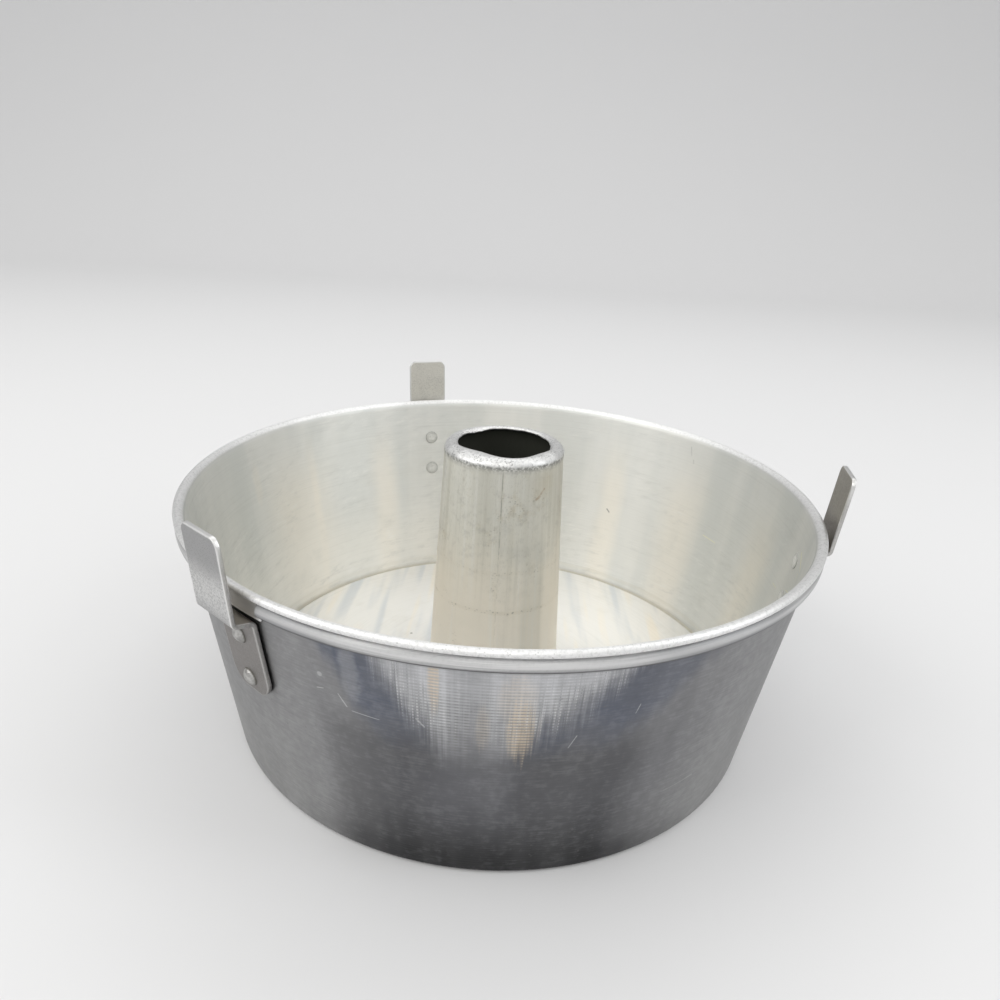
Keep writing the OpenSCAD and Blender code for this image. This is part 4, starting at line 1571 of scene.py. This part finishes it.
@dataclass
class CoolingFoot(SubAssembly):
    """A bent strip, riveted to the wall below the rim and standing above it."""

    body: Body = Body.RING
    slot: Slot = Slot.FOOT
    name: str = "foot"
    node: str = "foot_rear"
    at: float = 110.0
    width: float = 20.5
    thick: float = 1.6
    bottom: float = 56.3
    bend_h: float = 86.3
    top: float = 121.4
    shelf: float = 4.1
    shelf_rise: float = 12.0
    upper_lean: float = 5.0
    bend_r: float = 2.0
    tip_r: float = 3.6
    low_r: float = 7.5
    gap: float = 0.1
    burr: float = 0.38
    base_r: float = BASE_R
    lean: float = WALL_LEAN

    def line(self) -> SheetLine:
        """Middle line of the strip, from its lower end to its tip."""
        lean, up = math.radians(self.lean), 90 - self.lean
        upper = 90 - self.upper_lean
        start = [self.base_r + self.bottom * math.tan(lean)
                 + (self.gap + self.thick / 2) / math.cos(lean), self.bottom]

        def rise(a: float, b: float) -> float:
            """How far a bend from angle a to angle b goes up."""
            return self.bend_r * abs(math.cos(math.radians(b)) - math.cos(math.radians(a)))

        low_l = (self.bend_h - self.bottom) / math.cos(lean)
        shelf_z = self.bend_h + rise(up, self.shelf_rise)
        upper_z = (shelf_z + self.shelf * math.sin(math.radians(self.shelf_rise))
                   + rise(self.shelf_rise, upper))
        upper_l = (self.top - upper_z) / math.cos(math.radians(self.upper_lean))
        return trace(start, up, [
            Run(low_l, self.shelf_rise - up, self.bend_r),
            Run(self.shelf, upper - self.shelf_rise, self.bend_r),
            Run(upper_l),
        ], step=0.9, bend_step=6.0)

    def build(self, finish: FootFinish) -> bpy.types.Object:
        """Builds and dresses the foot.

        At a distance d from an end with corner radius r the strip is
        w = W/2 - r + sqrt(r r - (r - d)^2) wide to each side, and near its very
        end its thickness shrinks in the same way with the burr's radius.

        Args:
            finish: its finish.

        Returns:
            The object.
        """
        line = self.line()
        steps = np.hypot(*np.diff(line.points, axis=0).T)
        run = np.concatenate([[0], np.cumsum(steps)])
        total = run[-1]
        ends = np.array([0, 0.04, 0.12, 0.24, 0.38, 0.6])
        rows = np.unique(np.round(np.concatenate([ends, run[(run > 0.8) & (run < total - 0.8)],
                                                  total - ends]), 5))
        middle = np.stack([np.interp(rows, run, line.points[:, k]) for k in (0, 1)], axis=-1)
        left = np.stack([np.interp(rows, run, line.lefts[:, k]) for k in (0, 1)], axis=-1)
        left /= np.linalg.norm(left, axis=1, keepdims=True)

        def shrink(full: float, radius: float, reach: np.ndarray) -> np.ndarray:
            """A half width near an end, where the corner of that radius is round."""
            inward = np.clip(radius - reach, 0, radius)
            return full - radius + np.sqrt(radius ** 2 - inward ** 2)

        wide = np.minimum(shrink(self.width / 2, self.low_r, rows),
                          shrink(self.width / 2, self.tip_r, total - rows))
        nearest = np.minimum(rows, total - rows)
        half = shrink(self.thick / 2, self.burr, nearest)
        quarter = np.linspace(0, 90, 6)
        burr = np.minimum(self.burr, half * 0.98)

        def corner(side: float, sheet_side: float, angles: np.ndarray) -> Tuple[np.ndarray, ...]:
            """A burred corner of the section: across, depth and how far it is cut."""
            turn = np.radians(angles)[None]
            across = side * (wide[:, None] - burr[:, None] * (1 - np.sin(turn)))
            depth = sheet_side * (half[:, None] - burr[:, None] * (1 - np.cos(turn)))
            return across, depth, np.repeat(np.sin(turn), len(wide), axis=0)

        def flat(sheet_side: float) -> Tuple[np.ndarray, ...]:
            """A flat face of the section: across, depth and no cut."""
            share = np.sin(sheet_side * np.linspace(-1, 1, 15)[None] * np.pi / 2)[:, 1:-1]
            across = share * (wide - burr)[:, None]
            depth = np.repeat(sheet_side * half[:, None], across.shape[1], axis=1)
            return across, depth, np.zeros(across.shape)

        # Round the section: an edge, the outer face, the other edge, the inner face
        parts = [corner(1.0, -1.0, quarter[::-1]), flat(-1.0), corner(-1.0, -1.0, quarter),
                 corner(-1.0, 1.0, quarter[::-1]), flat(1.0), corner(1.0, 1.0, quarter)]
        across, depth, cut = (np.concatenate(part, axis=1) for part in zip(*parts))
        x = middle[:, :1] + depth * left[:, :1]
        z = middle[:, 1:] + depth * left[:, 1:]
        turn = math.radians(self.at)
        points = np.stack([x * math.cos(turn) - across * math.sin(turn),
                           x * math.sin(turn) + across * math.cos(turn), z], axis=-1)
        ends_at = points[[0, -1]].mean(axis=1, keepdims=True).repeat(points.shape[1], axis=1)
        points = np.concatenate([ends_at[:1], points, ends_at[1:]])
        rim = np.minimum(wide[:, None] - np.abs(across), nearest[:, None])
        edge = np.exp(-np.clip(rim, 0, None) / 0.9)
        marks = {"edge": np.concatenate([np.ones_like(edge[:1]), edge, np.ones_like(edge[:1])])}
        others = {"leg": 1 - ease(z, self.bend_h - 1, self.bend_h + 4),
                  "inward": np.clip(0.5 + depth / self.thick, 0, 1),
                  "cut": np.maximum(cut, 1 - ease(nearest, 0.0, 0.3)[:, None])}
        marks.update({name: np.concatenate([mark[:1], mark, mark[-1:]])
                      for name, mark in others.items()})
        piece = lay_mesh(self.name, [Patch(points, False, True, marks)])
        self.join(piece, self.node, finish.material())
        return piece


@dataclass
class Rivet(SubAssembly):
    """A rivet with a domed head outside and a flattened tail inside the pan."""

    body: Body = Body.RING
    slot: Slot = Slot.RIVET
    name: str = "rivet"
    node: str = "rivet_rear_high"
    at: float = 110.0
    z: float = 79.9
    shank_r: float = 2.0
    head_r: float = 3.5
    head_h: float = 1.9
    tail_r: float = 3.4
    tail_t: float = 0.45
    under_head: float = 1.7
    wall: float = 1.0
    gap: float = 0.08
    base_r: float = BASE_R
    lean: float = WALL_LEAN

    def section(self) -> np.ndarray:
        """Half outline (radius, height) from the tail's middle to the head's crown.

        The head is a cap of a sphere of radius (r r + h h) / 2h, and the tail's
        edge is rounded.
        """
        dome = (self.head_r ** 2 + self.head_h ** 2) / (2 * self.head_h)
        centre = self.under_head + self.head_h - dome
        reach = math.degrees(math.asin(self.head_r / dome))
        if centre > self.under_head:
            reach = 180 - reach
        tail_top = -self.wall - self.gap
        soft = self.tail_t * 0.45
        edge = np.linspace(-90, 90, 7)
        tail_low, tail_in = tail_top - self.tail_t, self.tail_r - soft
        rim = round_points(np.array([tail_in, tail_low + soft]), soft, edge[:4])
        rim_up = round_points(np.array([tail_in, tail_top - soft]), soft, edge[3:])
        cap = round_points(np.array([0.0, centre]), dome, 90 - np.linspace(reach, 0, 17))
        flat = np.array([[0.0, tail_low], [1.6, tail_low]])
        shank = np.array([[self.shank_r, tail_top], [self.shank_r, self.under_head],
                          [self.head_r * 0.97, self.under_head]])
        return np.concatenate([flat, rim, rim_up, shank, cap])

    def build(self, finish: RivetFinish) -> bpy.types.Object:
        """Builds and dresses the rivet.

        Args:
            finish: its finish.

        Returns:
            The object.
        """
        outline = self.section()
        angles = angles_round(40)
        r, h = outline[:, :1], outline[:, 1:]
        turn = np.radians(angles)[None]
        on_head = ease(h, self.under_head, self.under_head + 1)
        hammered = 1 + 0.025 * np.cos(3 * turn + self.at) * on_head
        local = revolved(r * hammered, h + 0 * turn, angles)
        lean, at = math.radians(90 + self.lean), math.radians(self.at)
        down, out = [math.cos(lean), 0, -math.sin(lean)], [math.sin(lean), 0, math.cos(lean)]
        middle = np.array([self.base_r + self.z * math.tan(math.radians(self.lean)), 0, self.z])
        placed = middle + local @ np.array([down, [0, 1, 0], out])
        spin = np.array([[math.cos(at), math.sin(at), 0],
                         [-math.sin(at), math.cos(at), 0], [0, 0, 1]])
        level = np.repeat(h, len(angles), axis=1)
        marks = {
            "foot": 1 - ease(level, self.under_head, self.under_head + 1.2),
            "tail": 1 - ease(level, -0.6, -0.4),
            "rim": ease(np.repeat(r, len(angles), axis=1), self.tail_r - 0.7, self.tail_r),
        }
        piece = lay_mesh(self.name, [Patch(placed @ spin, False, True, marks)])
        self.join(piece, self.node, finish.material())
        return piece


@dataclass(frozen=True)
class FootPlace:
    """Where a foot stands, how high, and the tone and soil of its inner face, set per foot as
    painted light and shade.
    """

    name: str
    at: float
    top: float
    tone: Colour
    soil_and_painted_light: float = 0.15


# Bent by hand, the left and right feet stand a little lower than the rear one
# The inner faces' tones and the right foot's heavy soil are painted light and shade, one per foot
FOOT_PLACES = (
    FootPlace("rear", 110.0, 121.4, (0.76, 0.745, 0.69)),
    FootPlace("left", 230.0, 119.6, (0.68, 0.66, 0.61)),
    FootPlace("right", 350.0, 120.7, (0.44, 0.42, 0.38), soil_and_painted_light=0.6),
)
RIVET_HEIGHTS = {"high": 79.9, "low": 62.2}


# Camera, floor and light


@dataclass
class PhotoCamera:
    """A camera at the viewing angle of the photograph."""

    focal_px: float = 763.5
    frame_px: float = 1000.0
    sensor: float = 36.0
    position: Point = (0.0, -305.5, 216.3)
    target: Point = (-0.63, 0.0, 90.97)
    roll: float = 3.14

    def build(self) -> bpy.types.Object:
        """Creates the scene's camera."""
        ahead = (Vector(self.target) - Vector(self.position)).normalized()
        right = ahead.cross(Vector((0, 0, 1))).normalized()
        up = right.cross(ahead)
        turn = math.radians(self.roll)
        image_right = math.cos(turn) * right + math.sin(turn) * up
        image_up = math.cos(turn) * up - math.sin(turn) * right
        data = bpy.data.cameras.new("photo_camera")
        data.sensor_width = self.sensor
        data.lens = self.focal_px / self.frame_px * self.sensor
        data.clip_start, data.clip_end = 0.01, 30.0
        camera = bpy.data.objects.new("photo_camera", data)
        bpy.context.scene.collection.objects.link(camera)
        turned = Matrix((image_right, image_up, -ahead)).transposed()
        camera.matrix_world = Matrix.Translation(Vector(self.position) * MM) @ turned.to_4x4()
        bpy.context.scene.camera = camera
        return camera


@dataclass
class Studio:
    """A plain pale sweep of floor, soft lamps and a soft world."""

    floor: Colour = (0.74, 0.74, 0.745)
    floor_grain: Colour = (0.68, 0.68, 0.69)
    horizon: Colour = (0.52, 0.52, 0.525)
    overhead: Colour = (0.92, 0.92, 0.91)
    half_width: float = 2.2
    front: float = -1.6
    back: float = 1.5
    sweep_r: float = 0.8
    wall: float = 2.4

    def sweep(self) -> bpy.types.Object:
        """Builds the floor: level to y = back, then a quarter circle, then a wall."""
        level = np.stack([np.linspace(self.front, self.back, 12), np.zeros(12)], axis=-1)
        bend = round_points(np.array([self.back, self.sweep_r]), self.sweep_r,
                            np.linspace(-90, 0, 24)[1:])
        up = bend[-1] + np.stack([np.zeros(4), np.linspace(0, self.wall, 5)[1:]], axis=-1)
        line = np.concatenate([level, bend, up])
        across = np.linspace(-self.half_width, self.half_width, 9)
        y, x = np.meshgrid(line[:, 0], across, indexing="ij")
        z = np.repeat(line[:, 1:], len(across), axis=1)
        points = np.stack([x, y, z], axis=-1) / MM
        sweep = lay_mesh("floor_sweep", [Patch(points[:, ::-1])])
        material = bpy.data.materials.new("pale_floor")
        material.use_nodes = True
        g = Graph(material.node_tree)
        grain = g.noise(g.place(), 3.0, 3.0)
        colour = g.blend(grain * 0.1, self.floor, self.floor_grain)
        shader = g.node("ShaderNodeBsdfPrincipled", inputs={
            "Base Color": colour, "Roughness": 0.75, "Specular IOR Level": 0.2})
        g.end(shader)
        sweep.data.materials.append(material)
        return sweep

    def lamp(self, name: str, place: Point, aim: Point, size: Tuple[float, float],
             power: float, colour: Colour = (1.0, 1.0, 1.0)) -> None:
        """Adds a soft rectangular lamp.

        Args:
            name: name of the lamp.
            place: its place, in metres.
            aim: the point that it faces, in metres.
            size: its width and height, in metres.
            power: its power, in watts.
            colour: its colour.
        """
        data = bpy.data.lights.new(name, "AREA")
        data.shape = "RECTANGLE"
        data.size, data.size_y = size
        data.energy = power
        data.color = colour
        lamp = bpy.data.objects.new(name, data)
        bpy.context.scene.collection.objects.link(lamp)
        lamp.location = place
        lamp.rotation_mode = "QUATERNION"
        lamp.rotation_quaternion = (Vector(aim) - Vector(place)).to_track_quat("-Z", "Y")

    def world(self) -> None:
        """Lights the scene evenly, paler overhead than at the horizon."""
        world = bpy.data.worlds.new("soft_world")
        world.use_nodes = True
        g = Graph(world.node_tree)
        direction = Signal(g, g.node("ShaderNodeTexCoord").outputs["Generated"])
        height = g.step(direction.part(2), -0.1, 0.9)
        sky = g.blend(height, self.horizon, self.overhead)
        back = g.node("ShaderNodeBackground", inputs={"Color": sky, "Strength": 1.0})
        g.end(back, "World")
        bpy.context.scene.world = world

    def build(self) -> None:
        """Builds floor, lamps and world."""
        self.sweep()
        self.world()
        middle = (0.0, 0.0, 0.06)
        self.lamp("key_left", (-1.2, -0.5, 1.2), middle, (1.2, 1.2), 8.0, (1.0, 0.99, 0.97))
        self.lamp("fill_right", (1.3, -0.3, 0.9), middle, (0.4, 1.3), 4.0, (0.97, 0.985, 1.0))
        self.lamp("top_back", (0.1, 0.8, 1.5), middle, (1.5, 0.8), 4.0)
        for index, x in enumerate((-0.36, -0.02, 0.34)):
            place = (x, -1.15, 1.05)
            self.lamp(f"front_strip_{index}", place, middle, (0.10, 0.9), 1.1, (1.0, 0.985, 0.96))


def main() -> None:
    """Builds the pan, piece by piece, then the camera and the studio."""
    logging.basicConfig(level=logging.INFO, format="%(name)s: %(message)s")
    bpy.context.scene.view_settings.view_transform = "Standard"
    PanRing().build(PanFinish("pan_metal", anisotropy=0.55))
    BaseDisc().build(DiscFinish("disc_metal", anisotropy=0.5))
    CentreTube().build(TubeFinish("tube_metal", anisotropy=0.3))
    rivet_finish = RivetFinish("rivet_metal")
    for place in FOOT_PLACES:
        foot_finish = FootFinish(f"foot_metal_{place.name}", inner=place.tone,
                                 soil_and_painted_light=place.soil_and_painted_light)
        CoolingFoot(name=f"cooling_foot_{place.name}", node=f"foot_{place.name}",
                    at=place.at, top=place.top).build(foot_finish)
        for level, z in RIVET_HEIGHTS.items():
            Rivet(name=f"foot_rivet_{place.name}_{level}",
                  node=f"rivet_{place.name}_{level}", at=place.at, z=z).build(rivet_finish)
    PhotoCamera().build()
    Studio().build()


if __name__ == "__main__":
    main()
